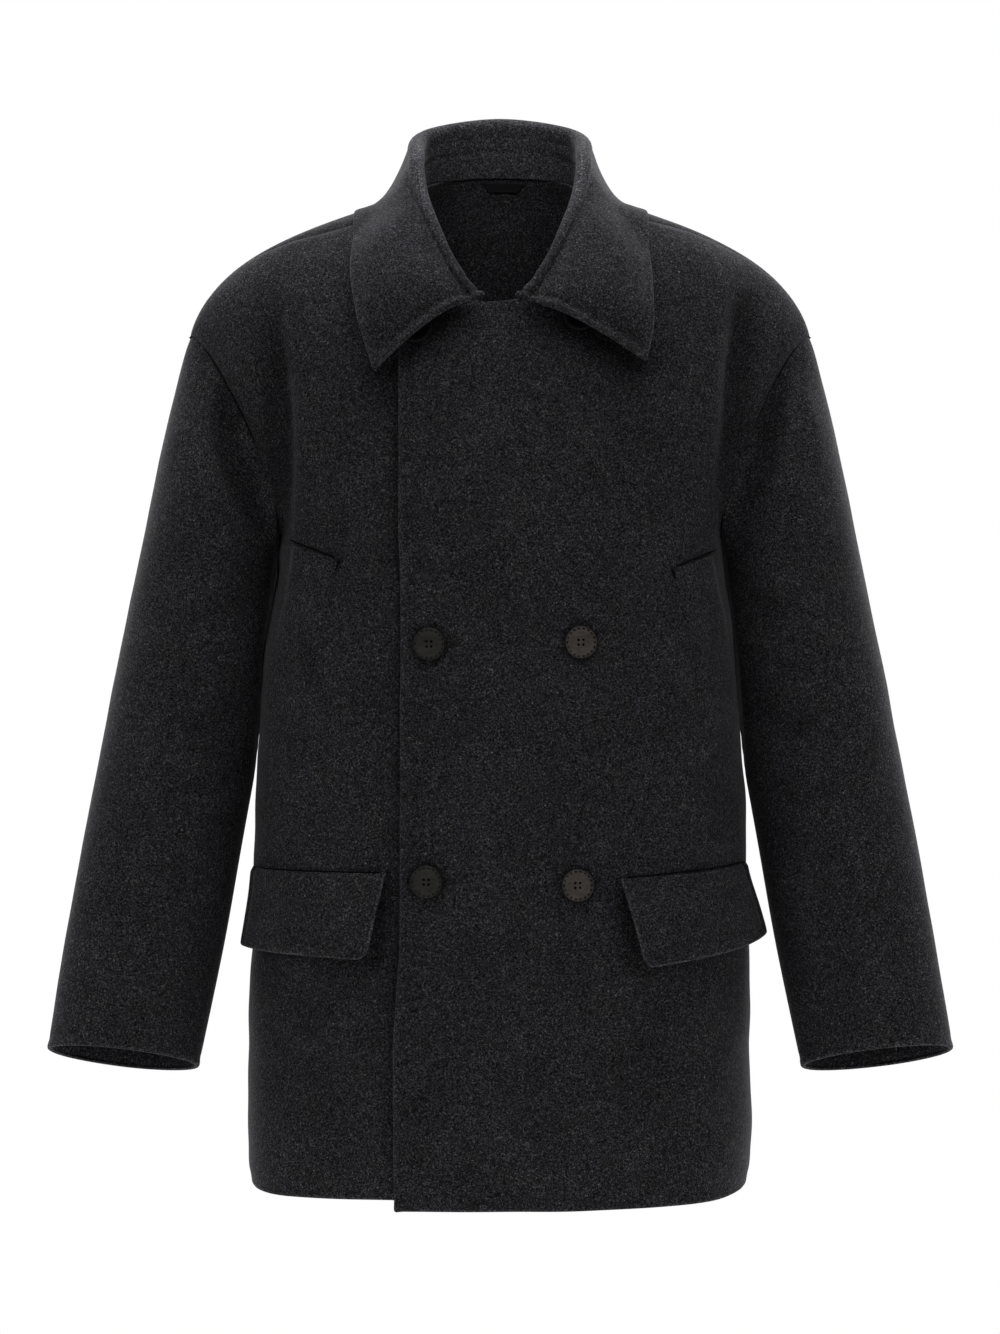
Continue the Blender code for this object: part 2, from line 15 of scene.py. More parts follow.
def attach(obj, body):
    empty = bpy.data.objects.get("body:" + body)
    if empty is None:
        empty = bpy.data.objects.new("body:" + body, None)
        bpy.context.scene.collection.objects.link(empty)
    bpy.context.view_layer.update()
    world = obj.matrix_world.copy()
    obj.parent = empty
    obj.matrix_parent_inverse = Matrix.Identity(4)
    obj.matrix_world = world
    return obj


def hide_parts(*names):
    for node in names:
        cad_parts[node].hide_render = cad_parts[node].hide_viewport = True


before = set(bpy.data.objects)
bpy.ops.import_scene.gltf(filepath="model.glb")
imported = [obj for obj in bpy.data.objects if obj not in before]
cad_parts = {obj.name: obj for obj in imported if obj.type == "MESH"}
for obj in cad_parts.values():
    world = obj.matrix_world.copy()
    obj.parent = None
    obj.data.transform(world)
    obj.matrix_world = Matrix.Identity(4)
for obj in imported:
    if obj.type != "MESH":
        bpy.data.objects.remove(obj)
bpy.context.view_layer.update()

bl_info = {
    "name": "Wool jacket",
    "version": (1, 0, 0),
    "blender": (4, 5, 0),
    "location": "View3D > Sidebar > Jacket",
    "description": "Cloth, buttons, stitching and stage of a double-breasted wool jacket",
    "category": "Object",
}

BODY = "root"

# ---- sizes of the jacket's form ----------------------------------------------------------------
HEM_Z = -0.845
UNDERARM_Z = -0.285
LAP_X = 0.086             # reach of each front's panel past the centre line, and the level where it is taken
LAP_LEVEL = -0.3
LAP_LIFT = 0.0050         # the overlapping front above the form
EDGE_SPRING = 0.0034      # how far the overlap's free edge springs up
# Reach of the free edges past the centre line by height: z, x.
LAP_LINE = ((-0.840, 0.0862), (-0.765, 0.0868), (-0.705, 0.0868), (-0.655, 0.0840), (-0.625, 0.0815),
            (-0.400, 0.0808), (-0.330, 0.0810), (-0.290, 0.0826), (-0.240, 0.0828), (-0.100, 0.0822))
FRONT_NECK_Z = -0.0965
LAP_FADE_ACROSS = (0.32, 0.45)  # s where the lap's lift starts to fade, and over how much
LAP_FADE_UP = (0.72, 0.28)  # the same for its level
HEM_SIDE_RISE = 0.0040    # rise of the hem at the side seams
HEM_UNDERLAP_RISE = 0.0085  # rise of the underlapping front's hem at the centre
HEM_RISE_RATE = 3.5       # how fast the rise fades upwards, per row of the panel
HEM_CORNER_START = (0.55, 0.45)  # s where the hem starts to draw in, and over how much
HEM_CORNER = (0.030, 0.026, 0.0030)  # over what height, how far in as a share, and how far up
BODY_STEPS = (112, 68)    # rows below and above the underarm
BODY_EASE = 0.3           # how much closer they lie at both ends
LAP_EASE = 0.4
FRONT_COLUMNS = (36, 18, 104)  # columns over the lap, the neck and the shoulder
BACK_COLUMNS = (18, 70)
CREASE_END = (0.95, 0.045)  # share of a panel where creases end, and over how much
WAVE_END = (0.86, 0.12)   # level where creases and waves end, and over how much

# Body rings: z, half width, depth in front and behind, squareness in front and at the side.
RINGS = (
    (-0.845, 0.2145, 0.1340, 0.1360, 0.72, 0.66),
    (-0.790, 0.2160, 0.1375, 0.1390, 0.72, 0.66),
    (-0.640, 0.2130, 0.1400, 0.1390, 0.74, 0.66),
    (-0.500, 0.2095, 0.1400, 0.1340, 0.74, 0.68),
    (-0.390, 0.2020, 0.1390, 0.1330, 0.76, 0.72),
    (-0.285, 0.1900, 0.1370, 0.1370, 0.78, 0.78),
)
NECK_SIDE = (0.0722, 0.0090)  # x and z where the shoulder ridge starts at the neck
SHOULDER_TIP = (0.2680, -0.1145)
RIDGE_CONTROLS = ((0.1550, -0.0170), (0.2480, -0.0405))
RIDGE_Y = 0.004
RIDGE_POWER = 0.85        # how the columns gather along the ridge
FACE_POWER = 0.6          # how full the yoke's faces are between the centre and the side
NECK_SHARE = 0.100        # s of the neck's side
NECK_DROP = 0.060         # how far below the ridge the cloth turns over at the neck
SHOULDER_DROP = 0.012     # the same at the shoulder tip
SCOOP_PEAK = 0.26         # share of the armhole's climb at which it is scooped most
NECK_POWER = 2.4          # roundness of the front neckline
# Shoulder seam in front of the ridge: share of the climb, power towards the tip, width of its start.
SEAM_FORWARD = (0.23, 1.2, 0.08)
# Yoke faces: rise, flare, depth, fullness, scoop.
YOKE = {"front": (0.085, 0.045, 0.110, 0.006, 0.220), "back": (0.135, 0.045, 0.128, 0.018, 0.195)}
# y and z of the form's top at the centre.
NECK_TOP = {"front": (-0.058, 0.002), "back": (0.0880, 0.0370)}

# ---- cloth, edges and seams --------------------------------------------------------------------
CLOTH = 0.0025            # one layer of melton
COLLAR_CLOTH = 0.0028
FACING_WIDTH = 0.022      # width of the thick facing along a free edge
FACING_FADE = 0.012       # width over which it thins out
SEWN_WALL = 0.0007        # wall left where a sewn edge is pressed
PRESS_WIDTH = 0.006
SEAM_LAP = 0.0002         # how far sewn edges reach into each other
SHOULDER_SINK = 0.0010    # extra depth of the pressed shoulder seam
SINK_WIDTH = 0.010
SINK_END = (0.235, 0.07)  # x at which the shoulder's extra depth ends, and over how much it fades
RIM_STEPS = 5             # facets across a rounded edge
MAX_INSET = 0.7           # largest share of a grid's step by which an edge is drawn in
# Pinched tops of tubes and corners of panels: rows concerned, and the least agreement of sound normals.
TUBE_PINCH = (7, 0.85)
CORNER_PINCH = (3, 0.80)
PLAIN_GRID = 8            # grids of up to so many rows or columns are never pinched
# Across a seam: width of the groove; place, width and share of the depth of the ridge of layers beside it.
SEAM_PROFILE = (0.0030, 0.0090, 0.0060, 0.35)
# Across a turned edge: place of the bead, place of the dip inside it, width of both, share of the dip.
ROLL_PROFILE = (0.0030, 0.0085, 0.0030, 0.5)
FRONT_ROLL = 2.0          # roll of each edge, as a share of the general one
HEM_ROLL = 0.6
FLAP_ROLL = 1.4
SLEEVE_SEAM = 0.4         # depth of each seam, as a share of the general one
COLLAR_SEAM = 0.5
SPRING_WIDTH = 0.016      # width over which the overlap's free edge springs up
# Painted highlight along the free edges: reach and share.
FRONT_HIGHLIGHT = (0.0040, 0.40)
HEM_HIGHLIGHT = (0.0030, 0.35)
CUFF_HIGHLIGHT = (0.0030, 0.60)
LEAF_HIGHLIGHT = (0.0045, 1.0)
FLAP_HIGHLIGHT = (0.0018, 0.90)

# ---- sleeves -----------------------------------------------------------------------------------
# Sleeve rings: outer x, z, inner x, z, middle y, half depth, tilt.
SLEEVE = (
    (0.2680, -0.1145, 0.1900, -0.2850, 0.000, 0.060, 0.00),
    (0.2830, -0.1750, 0.1900, -0.3080, 0.002, 0.074, 0.02),
    (0.2990, -0.2500, 0.1910, -0.3450, 0.002, 0.080, 0.04),
    (0.3165, -0.3370, 0.1965, -0.4050, 0.000, 0.080, 0.06),
    (0.3350, -0.4300, 0.2085, -0.4760, -0.004, 0.074, 0.08),
    (0.3515, -0.5190, 0.2210, -0.5480, -0.012, 0.066, 0.12),
    (0.3675, -0.6130, 0.2355, -0.6340, -0.024, 0.058, 0.19),
    (0.3840, -0.7225, 0.2560, -0.7365, -0.040, 0.053, 0.27),
)
SLEEVE_COLUMNS = 88
SLEEVE_ROWS = 128
SLEEVE_EASE = 0.35
CAP_ROWS = 1.6            # rows of the table over which the sleeve's head becomes the armhole
ARM_GAP = 0.0025          # between a sleeve and the side of the body
ARM_REACH = 0.100         # depth over which the sleeve lies along the body
ARMHOLE_GAP = -0.0008     # below 0: how far the sleeve's head reaches past the armhole's edge
TIP_SINK = 0.0010         # how far a sleeve's head dips under the panels' corners at the shoulder tip
TIP_SPREAD = 0.012
FACE_BLEND = 1.6          # how fast a sleeve's front creases pass into those behind
OUTER_CALM = 0.8          # share of the waves that fades along a sleeve's outer side
INNER_CALM = 0.35         # part of its girth, as a cosine, over which creases come in from the inner side
HEAD_CALM = 0.030         # length over which they come in from its head

# ---- collar ------------------------------------------------------------------------------------
# Collar sections in millimetres: seam, roll, radius, bend, edge, share at the joint.
COLLAR = (
    ((15.5, -122.0, -95.5), (18.0, -128.5, -93.0), 4.4, (47.0, -137.0, -96.0), (120.5, -143.0, -147.0), 0.53),
    ((39.0, -103.5, -71.0), (38.5, -109.0, -61.0), 4.8, (88.0, -145.0, -70.0), (127.0, -134.0, -116.0), 0.37),
    ((56.0, -76.0, -41.0), (57.0, -80.0, -20.0), 5.4, (92.0, -108.0, -32.0), (126.5, -104.0, -72.0), 0.265),
    ((62.5, -45.0, -18.0), (68.5, -48.0, 10.0), 6.2, (90.0, -62.0, -10.0), (124.0, -58.0, -32.0), 0.25),
    ((66.5, -8.0, 8.0), (73.0, -10.0, 43.5), 7.0, (95.0, -10.0, 0.0), (122.5, -4.0, -6.0), 0.24),
    ((60.0, 50.0, 28.0), (66.0, 55.0, 73.0), 8.0, (84.0, 70.0, 26.0), (102.0, 82.0, -14.0), 0.23),
    ((0.0, 82.0, 38.0), (0.0, 90.0, 88.0), 9.0, (0.0, 108.0, 48.0), (0.0, 118.0, 6.0), 0.23),
)
# Bend and edge of the first sections on the wearer's right.
LEAF_RIGHT = (
    ((41.0, -134.0, -91.0), (104.0, -143.0, -155.5)),
    ((82.0, -142.0, -68.0), (117.5, -134.0, -112.0)),
    ((91.0, -107.0, -31.0), (125.0, -104.0, -69.0)),
)
STAND_END = 0.30          # where the fold starts and ends along a section
FOLD_END = 0.44
JOINT_GAP = 0.0010
COLLAR_CLEARANCE = 0.0004
LEAF_START = 0.10         # how far past the fold, along a section, the collar is laid on the body
SMOOTH_START = 0.06       # how far past it the collar is smoothed, and how often
SMOOTH_TIMES = 14
COLLAR_ENDS = (0.10, 0.4)  # length over which the front ends pass into the back, and start in lengths
LEAF_FOOT = (0.62, 0.38)  # where along a section the leaves start to stand off, and over how much
LEAF_RANGE = 0.05         # largest distance from the body at which the collar is laid on it
JOINT_WALL = 0.6          # wall of the fall at the back, as a share of the collar's cloth
COLLAR_WAVES = (0.1, 0.4)  # part of a section over which waves come in past the fold, and their share
COLLAR_ROLL = (0.2, 2.0)  # roll at the back, and what the front ends add, as shares
LEAF_HIGHLIGHT_SHARES = (0.2, 0.35)  # painted highlight of the edge at the back, and what the front ends add
COLLAR_STEPS = 110        # steps of each half, and rows of the stand and of the fall
COLLAR_EASE = 0.25
STAND_ROWS = 17
FALL_ROWS = ((0.34, 20), (1.0, 32))
BUTTON_PRESS = (0.0006, 0.002, 0.016)  # room over a button, flat reach past its rim, and the lift's fade
STAND_TOPSTITCH = (0.0125, 0.0020, 0.0012)  # distance from the seam, width and depth of the pressed line
BACK_FOLD_HIGHLIGHT = (0.355, 0.045, 0.95)  # place along a section, width and share of the painted highlight on the fold
LEAF_STAND_OFF = 0.0062   # how far the front ends of the collar's edge stand off the body
STAND_TUCK = 0.017        # share of a section by which the stand hangs inside the neck edge

# ---- pockets, tab, buttons and thread ----------------------------------------------------------
# Pockets by distance from the centre line and z: top inner, top outer, foot inner, foot outer; for flaps
# also how far their foot stands off inside and outside.
FLAPS = {
    "flap_right": ((0.0925, -0.5665), (0.2070, -0.5665), (0.1060, -0.6370), (0.2080, -0.6330), 0.013, 0.010),
    "flap_left": ((0.0970, -0.5710), (0.2060, -0.5620), (0.1130, -0.6435), (0.2085, -0.6230), 0.014, 0.014),
}
FLAP_WALL = 0.0030
FLAP_TOP = (0.6, 0.92, 0.08)  # how much thinner a flap's top is, from which height, over how much
FLAP_GAP = 0.0006
FLAP_CURVE = (0.7, 0.5)   # how a flap's stand-off grows towards its foot: power inside, more outside
FLAP_ROUNDING = 0.035     # how far the lower corners are rounded, as a share of the width
ROUNDED_SHARE = 0.14      # share of a flap's height that the rounding takes
FLAP_STEPS = (64, 44)     # columns and rows
WELT_STEPS = (24, 48)
WELT_HEIGHT = 0.0017      # height of a welt's open edge above the front, and room under it
WELT_GAP = 0.0004
WELT_UNDERSIDE = (0.0002, 0.0003)  # room left below a welt's wall, and its least wall
WELTS = {
    "welt_right": ((0.1330, -0.3085), (0.1755, -0.2915), (0.1570, -0.4100), (0.1935, -0.3960)),
    "welt_left": ((0.1395, -0.3160), (0.1790, -0.3000), (0.1625, -0.4170), (0.1975, -0.4030)),
}
BUTTONS = {
    "button_right_top": (-0.0690, -0.1195),
    "button_left_top": (0.0660, -0.1095),
    "button_right_middle": (-0.0575, -0.3790),
    "button_left_middle": (0.0655, -0.3776),
    "button_right_low": (-0.0595, -0.5736),
    "button_left_low": (0.0626, -0.5763),
}
BUTTON_RADIUS = 0.0135
BUTTON_BEVEL = 0.00022
BUTTON_THICKNESS = 0.0042
BUTTON_CLEARANCE = 0.0008
# Turned profile: radius and height as shares.
BUTTON_PROFILE = ((0.0, 0.78), (0.50, 0.80), (0.66, 0.86), (0.74, 0.93), (0.84, 0.99), (0.91, 1.0),
                  (0.96, 0.95), (0.99, 0.82), (1.0, 0.66), (0.99, 0.46), (0.95, 0.26), (0.86, 0.08),
                  (0.76, 0.0), (0.0, 0.0))
HOLE_OFFSET = 0.0020
HOLE_RADIUS = 0.0011
RIM_SHADE_START = (0.925, 0.03)  # share of the radius where the painted shade of the rim starts, and over how much
DOT_COUNT = 18            # plain marks around a button
DOT_RING = 0.845          # their ring as a share of the radius
DOT_SIZE = 0.00115
DOT_HEIGHT = 0.99         # as a share of the thickness
HORN_SHADE_SHARE = 0.14        # painted shade: colour of the buttons under the collar, as a share of the dark horn's
# Buttonholes: button that each takes, and its reach from the button's middle.
BUTTONHOLES = (("button_right_middle", 0.0225), ("button_right_low", 0.0215))
HOLE_START = 0.008        # where a buttonhole comes out from under its button
HOLE_HALF_WIDTH = 0.0016
HOLE_HEIGHT = 0.0002
TACK_HEIGHT = 0.0028
TACK_HALF_LENGTH = 0.0028
THREAD = (0.0035, 0.0035, 0.0040)
RIM_MARK = (0.004, 0.004, 0.004)
# colour of the painted shadow strips along the pocket mouths
MOUTH_SHADOW_COLOUR = (0.0030, 0.0030, 0.0034)
SATIN = (0.0095, 0.0092, 0.0096)
# Stitches: spacing, length, thickness of the thread, unevenness of the turn, seed.
HOLE_STITCH = {"length": 0.0022, "thread": 0.0006, "uneven": 0.10, "seed": 7}
TACK_STITCH = {"spacing": 0.0006, "length": 0.0040, "thread": 0.0005, "uneven": 0.06, "seed": 9}
TAB_STITCH = {"spacing": 0.0014, "length": 0.0012, "thread": 0.0003, "uneven": 0.08, "seed": 5}
SHANK = (0.0052, 0.0046, 0.0016, 0.0003)  # thread under a button: foot and top radius, height, middle
MOUTH_WIDTH = 0.0013
MOUTH_WALL = 0.0006
MOUTH_ROWS = ((-0.35, 0.0024), (0.15, 0.0026), (0.65, 0.0012))  # shares of the width, heights on the cloth
MOUTH_CORNER = 0.09       # how far a welt's mouth turns down its open side
# Neck tab: middle, half widths at the top and the foot, height and drop as shares of the yoke's level.
TAB_MIDDLE = 0.0035
TAB_TOP = 0.0205
TAB_FOOT = 0.0145
TAB_HEIGHT = 0.055
TAB_DROP = 0.015
TAB_CLEARANCE = 0.0045
TAB_WALL = 0.0010
TAB_STITCH_LIFT = 0.0002

# ---- creases, waves, painted light and shade ---------------------------------------------------
# Creases: x and z of the points they run through downwards, half width, height (below 0 is a trough) and
# lean (above 0: steep towards +X, below 0: steep towards -X).
FRONT_CREASES = (
    (((-0.190, -0.085), (-0.184, -0.150), (-0.180, -0.205), (-0.182, -0.310)), 0.0150, -0.0075, 0.6),
    (((0.203, -0.075), (0.199, -0.118), (0.193, -0.165), (0.185, -0.260)), 0.0150, -0.0075, -0.6),
    (((-0.065, -0.400), (-0.068, -0.372), (-0.066, -0.345)), 0.0040, -0.0008, 0.0),
    (((0.005, -0.098), (0.004, -0.130), (-0.014, -0.215), (-0.048, -0.345)), 0.0050, 0.0010, 0.0),
    (((-0.205, -0.300), (-0.188, -0.350), (-0.196, -0.430)), 0.0160, -0.0022, 0.0),
    (((0.196, -0.430), (0.186, -0.500), (0.190, -0.560)), 0.0180, -0.0018, 0.0),
    (((-0.150, -0.660), (-0.140, -0.740), (-0.146, -0.845)), 0.0260, -0.0020, 0.0),
    (((0.120, -0.655), (0.130, -0.740), (0.124, -0.845)), 0.0260, -0.0022, 0.0),
    (((0.168, -0.640), (0.176, -0.730), (0.172, -0.845)), 0.0180, 0.0018, 0.0),
    (((-0.020, -0.600), (-0.012, -0.710), (-0.018, -0.845)), 0.0300, 0.0016, 0.0),
)
BACK_CREASES = (
    (((0.196, -0.100), (0.186, -0.160), (0.180, -0.240)), 0.0130, -0.0040, 0.0),
    (((-0.199, -0.095), (-0.188, -0.165), (-0.181, -0.235)), 0.0130, -0.0042, 0.0),
    (((0.165, -0.090), (0.150, -0.190), (0.140, -0.330)), 0.0190, 0.0026, 0.0),
    (((-0.168, -0.085), (-0.154, -0.180), (-0.146, -0.300)), 0.0190, 0.0025, 0.0),
    (((0.060, -0.060), (0.052, -0.130), (0.058, -0.220)), 0.0200, -0.0018, 0.0),
    (((-0.064, -0.060), (-0.050, -0.140), (-0.054, -0.210)), 0.0200, -0.0018, 0.0),
    (((0.110, -0.480), (0.124, -0.650), (0.118, -0.845)), 0.0320, -0.0034, 0.0),
    (((-0.100, -0.520), (-0.116, -0.680), (-0.108, -0.845)), 0.0320, -0.0036, 0.0),
    (((0.010, -0.420), (-0.004, -0.620), (0.004, -0.845)), 0.0400, 0.0028, 0.0),
    (((0.195, -0.330), (0.150, -0.370), (0.100, -0.380)), 0.0140, -0.0020, 0.0),
    (((-0.195, -0.340), (-0.156, -0.375), (-0.110, -0.392)), 0.0140, -0.0020, 0.0),
)
SLEEVE_CREASES = {
    ("sleeve_right", "front"): (
        (((-0.236, -0.135), (-0.234, -0.205), (-0.221, -0.245), (-0.200, -0.290)), 0.0140, -0.0075, -0.4),
        (((-0.255, -0.150), (-0.252, -0.220), (-0.236, -0.275)), 0.0120, 0.0024, 0.0),
        (((-0.205, -0.330), (-0.232, -0.352), (-0.262, -0.356)), 0.0110, -0.0026, 0.0),
        (((-0.212, -0.415), (-0.238, -0.440), (-0.276, -0.446)), 0.0120, -0.0030, 0.0),
        (((-0.222, -0.480), (-0.246, -0.498), (-0.280, -0.496)), 0.0110, -0.0026, 0.0),
        (((-0.320, -0.420), (-0.300, -0.470), (-0.292, -0.540)), 0.0180, 0.0018, 0.0),
        (((-0.262, -0.590), (-0.285, -0.640), (-0.290, -0.700)), 0.0160, -0.0018, 0.0),
    ),
    ("sleeve_left", "front"): (
        (((0.240, -0.140), (0.233, -0.180), (0.225, -0.225), (0.205, -0.280)), 0.0140, -0.0075, 0.4),
        (((0.254, -0.138), (0.261, -0.180), (0.271, -0.222)), 0.0070, 0.0026, 0.0),
        (((0.204, -0.325), (0.228, -0.350), (0.258, -0.352)), 0.0110, -0.0026, 0.0),
        (((0.212, -0.425), (0.240, -0.446), (0.272, -0.448)), 0.0120, -0.0030, 0.0),
        (((0.224, -0.492), (0.250, -0.505), (0.284, -0.500)), 0.0110, -0.0024, 0.0),
        (((0.322, -0.400), (0.304, -0.460), (0.298, -0.530)), 0.0180, 0.0018, 0.0),
        (((0.268, -0.600), (0.288, -0.650), (0.296, -0.705)), 0.0160, -0.0018, 0.0),
    ),
    ("sleeve_right", "back"): (
        (((-0.240, -0.140), (-0.232, -0.200), (-0.210, -0.260)), 0.0120, -0.0040, 0.0),
        (((-0.262, -0.150), (-0.262, -0.230), (-0.250, -0.300)), 0.0140, 0.0022, 0.0),
        (((-0.330, -0.440), (-0.290, -0.452), (-0.250, -0.440)), 0.0130, -0.0034, 0.0),
        (((-0.338, -0.500), (-0.300, -0.516), (-0.262, -0.508)), 0.0120, -0.0030, 0.0),
        (((-0.318, -0.360), (-0.280, -0.380), (-0.240, -0.372)), 0.0140, -0.0024, 0.0),
    ),
    ("sleeve_left", "back"): (
        (((0.242, -0.140), (0.233, -0.205), (0.212, -0.262)), 0.0120, -0.0040, 0.0),
        (((0.264, -0.150), (0.262, -0.235), (0.248, -0.300)), 0.0140, 0.0022, 0.0),
        (((0.332, -0.450), (0.292, -0.458), (0.252, -0.445)), 0.0130, -0.0034, 0.0),
        (((0.340, -0.512), (0.302, -0.522), (0.264, -0.512)), 0.0120, -0.0028, 0.0),
        (((0.316, -0.350), (0.282, -0.372), (0.240, -0.368)), 0.0140, -0.0024, 0.0),
    ),
}
CREASE_FADE = (0.04, 0.7)  # share of a crease kept at its ends, and how full it is between them
CREASE_LEAN = 0.65        # how much narrower a leaning crease is on its steep side
CREASE_BERM = (0.12, 1.9)  # low berm beside a crease: share of its height, distance in half widths
SHADOW_FADE_IN = 0.3         # share of a line over which its painted shadow comes in
BUTTON_SHADE = (0.0035, 0.6)  # painted shadow around a button: reach and share
FOLD_SHADE_DEPTH = 0.0070        # depth of a trough at which its painted shade is darkest
PAINTED_SHADING_SPAN = 0.65           # how much lighter or darker, as a power of e, the painted highlight and shade make the cloth where the mask is 1 or -1
# Edges of pieces that lie over the fronts: x and z of their points, reach of the painted shadow along them,
# share.
SHADOWED_EDGES = {
    "front_right": (
        (tuple((-x, z) for z, x in LAP_LINE), 0.0045, 0.75),
        (((-0.0470, -0.098), (-0.0640, -0.120), (-0.0845, -0.142), (-0.0990, -0.150)), 0.0090, 0.70),
        (((-0.0825, -0.1420), (-0.0870, -0.1500), (-0.0930, -0.1540)), 0.0060, 1.00),
        (((-0.0925, -0.5690), (-0.0990, -0.6020), (-0.1030, -0.6380)), 0.0085, 0.85),
        (((-0.1080, -0.6390), (-0.1500, -0.6380), (-0.2050, -0.6350)), 0.0050, 0.55),
    ),
    "front_left": (
        (((0.0430, -0.098), (0.0600, -0.113), (0.0930, -0.135), (0.1160, -0.146)), 0.0115, 1.10),
        (((-0.0380, -0.098), (-0.0540, -0.116), (-0.0845, -0.142)), 0.0085, 0.70),
        (((0.0970, -0.5740), (0.1040, -0.6060), (0.1100, -0.6430)), 0.0095, 0.90),
        (((0.1150, -0.6460), (0.1500, -0.6380), (0.2050, -0.6260)), 0.0055, 0.60),
    ),
}
# Low waves all over: direction in x and z, waves per metre, height, phase.
WAVES = (
    (0.95, 0.30, 9.0, 0.0007, 0.4),
    (0.25, 0.97, 7.0, 0.0006, 1.9),
    (-0.70, 0.71, 16.0, 0.0004, 3.1),
    (0.60, 0.80, 27.0, 0.0002, 5.0),
)

# ---- cut and stage -----------------------------------------------------------------------------
# Soft lights: azimuth from the front towards +X and elevation in degrees, size, power.
LIGHTS = (
    ("front_light", 0.0, 50.0, 1.8, 8.0),
    ("left_front_light", -60.0, 10.0, 1.8, 11.0),
    ("right_front_light", 60.0, 10.0, 1.8, 9.0),
    ("left_light", -100.0, 10.0, 1.8, 13.0),
    ("right_light", 100.0, 10.0, 1.8, 9.0),
    ("left_back_light", -130.0, 20.0, 1.8, 42.0),
    ("right_back_light", 130.0, 20.0, 1.8, 69.0),
    ("left_rim_light", -155.0, 30.0, 1.8, 52.0),
    ("right_rim_light", 155.0, 30.0, 1.8, 60.0),
    ("top_light", 180.0, 80.0, 2.0, 62.0),
    ("top_front_light", 0.0, 78.0, 2.0, 49.0),
)
NECK_LIGHT = ((0.0, -1.80, 0.26), (0.0, 0.08, 0.066), 6.8, 74.0)  # place, aim, cone in degrees, power
LIGHT_DISTANCE = 2.6
MIDDLE = (0.0, 0.0, -0.4)  # where the soft lights aim
SURROUND = 0.125          # strength of the white surround's light
FLOOR_RADIUS = 1.9
FLOOR_Z = -1.45
CAMERA_PLACE = (0.0, -2.94, -0.3977)
CAMERA_LENS = 92.2
CAMERA_SENSOR = 36.0


# ---- curves ------------------------------------------------------------------------------------
def bezier(t, *points):
    """Points at t on the Bezier curve of any number of control points."""
    t = np.asarray(t, float)[..., None]
    rows = [np.asarray(point, float) for point in points]
    while len(rows) > 1:
        rows = [a * (1.0 - t) + b * t for a, b in zip(rows, rows[1:])]
    return rows[0]


def smooth_row(table, t):
    """Catmull-Rom values of a table at t in rows."""
    table = np.asarray(table, float)
    last = len(table) - 1
    t = np.asarray(t, float)
    i = np.clip(np.floor(t).astype(int), 0, last - 1)
    f = (t - i)[..., None]
    a, b, c, d = (table[np.clip(i + k, 0, last)] for k in (-1, 0, 1, 2))
    return 0.5 * (2 * b + (c - a) * f + (2 * a - 5 * b + 4 * c - d) * f**2 + (3 * b - a - 3 * c + d) * f**3)


def smoothstep(x):
    """0 below 0, 1 above 1 and a soft step between them."""
    x = np.clip(x, 0.0, 1.0)
    return x * x * (3.0 - 2.0 * x)


def falling(x, start, width):
    """1 up to the start, falling softly to 0 over the width."""
    return 1.0 - smoothstep((x - start) / width)


def bell(x, width):
    """1 at 0, falling off softly to both sides."""
    return np.exp(-(x / width)**2)


HALVINGS = 34


def halve(goes_up, low, high):
    """Where a rising test turns false, by halving."""
    low, high = np.asarray(low, float), np.asarray(high, float)
    for _ in range(HALVINGS):
        middle = 0.5 * (low + high)
        up = goes_up(middle)
        low, high = np.where(up, middle, low), np.where(up, high, middle)
    return 0.5 * (low + high)


def unit(vectors):
    """The vectors at length 1."""
    return vectors / np.maximum(np.linalg.norm(vectors, axis=-1, keepdims=True), 1e-12)


def eased(count, ease):
    """Shares from 0 to 1 that lie closer together at both ends."""
    t = np.linspace(0.0, 1.0, count + 1)
    return t - ease * np.sin(2.0 * np.pi * t) / (2.0 * np.pi)


# ---- the jacket's form -------------------------------------------------------------------------
def ring_at(z):
    """Body ring at height z."""
    heights = [row[0] for row in RINGS]
    return smooth_row(RINGS, np.interp(z, heights, range(len(RINGS))))


def quarter(s, ring, depth):
    """x and y of a ring at s, from 0 at the centre line to 1 at the side."""
    width, flat_front, flat_side = ring[..., 1], ring[..., 4], ring[..., 5]
    none = np.zeros_like(width)
    corners = ((none, depth), (flat_front * width, depth), (width, flat_side * depth), (width, none))
    return bezier(s, *(np.stack(corner, -1) for corner in corners))


def ridge(s, face):
    """Top end of the form's column at s: shoulder ridge, and the neck inside it."""
    t = np.clip((s - NECK_SHARE) / (1.0 - NECK_SHARE), 0.0, 1.0)
    outer = bezier(t**RIDGE_POWER, NECK_SIDE, *RIDGE_CONTROLS, SHOULDER_TIP)
    outer = np.stack((outer[..., 0], np.full_like(t, RIDGE_Y), outer[..., 1]), -1)
    turn = 0.5 * np.pi * np.clip(s / NECK_SHARE, 0.0, 1.0)
    top_y, top_z = NECK_TOP[face]
    inner = np.stack((NECK_SIDE[0] * np.sin(turn), RIDGE_Y + (top_y - RIDGE_Y) * np.cos(turn),
                      NECK_SIDE[1] + (top_z - NECK_SIDE[1]) * np.cos(turn)), -1)
    return np.where((s >= NECK_SHARE)[..., None], outer, inner)


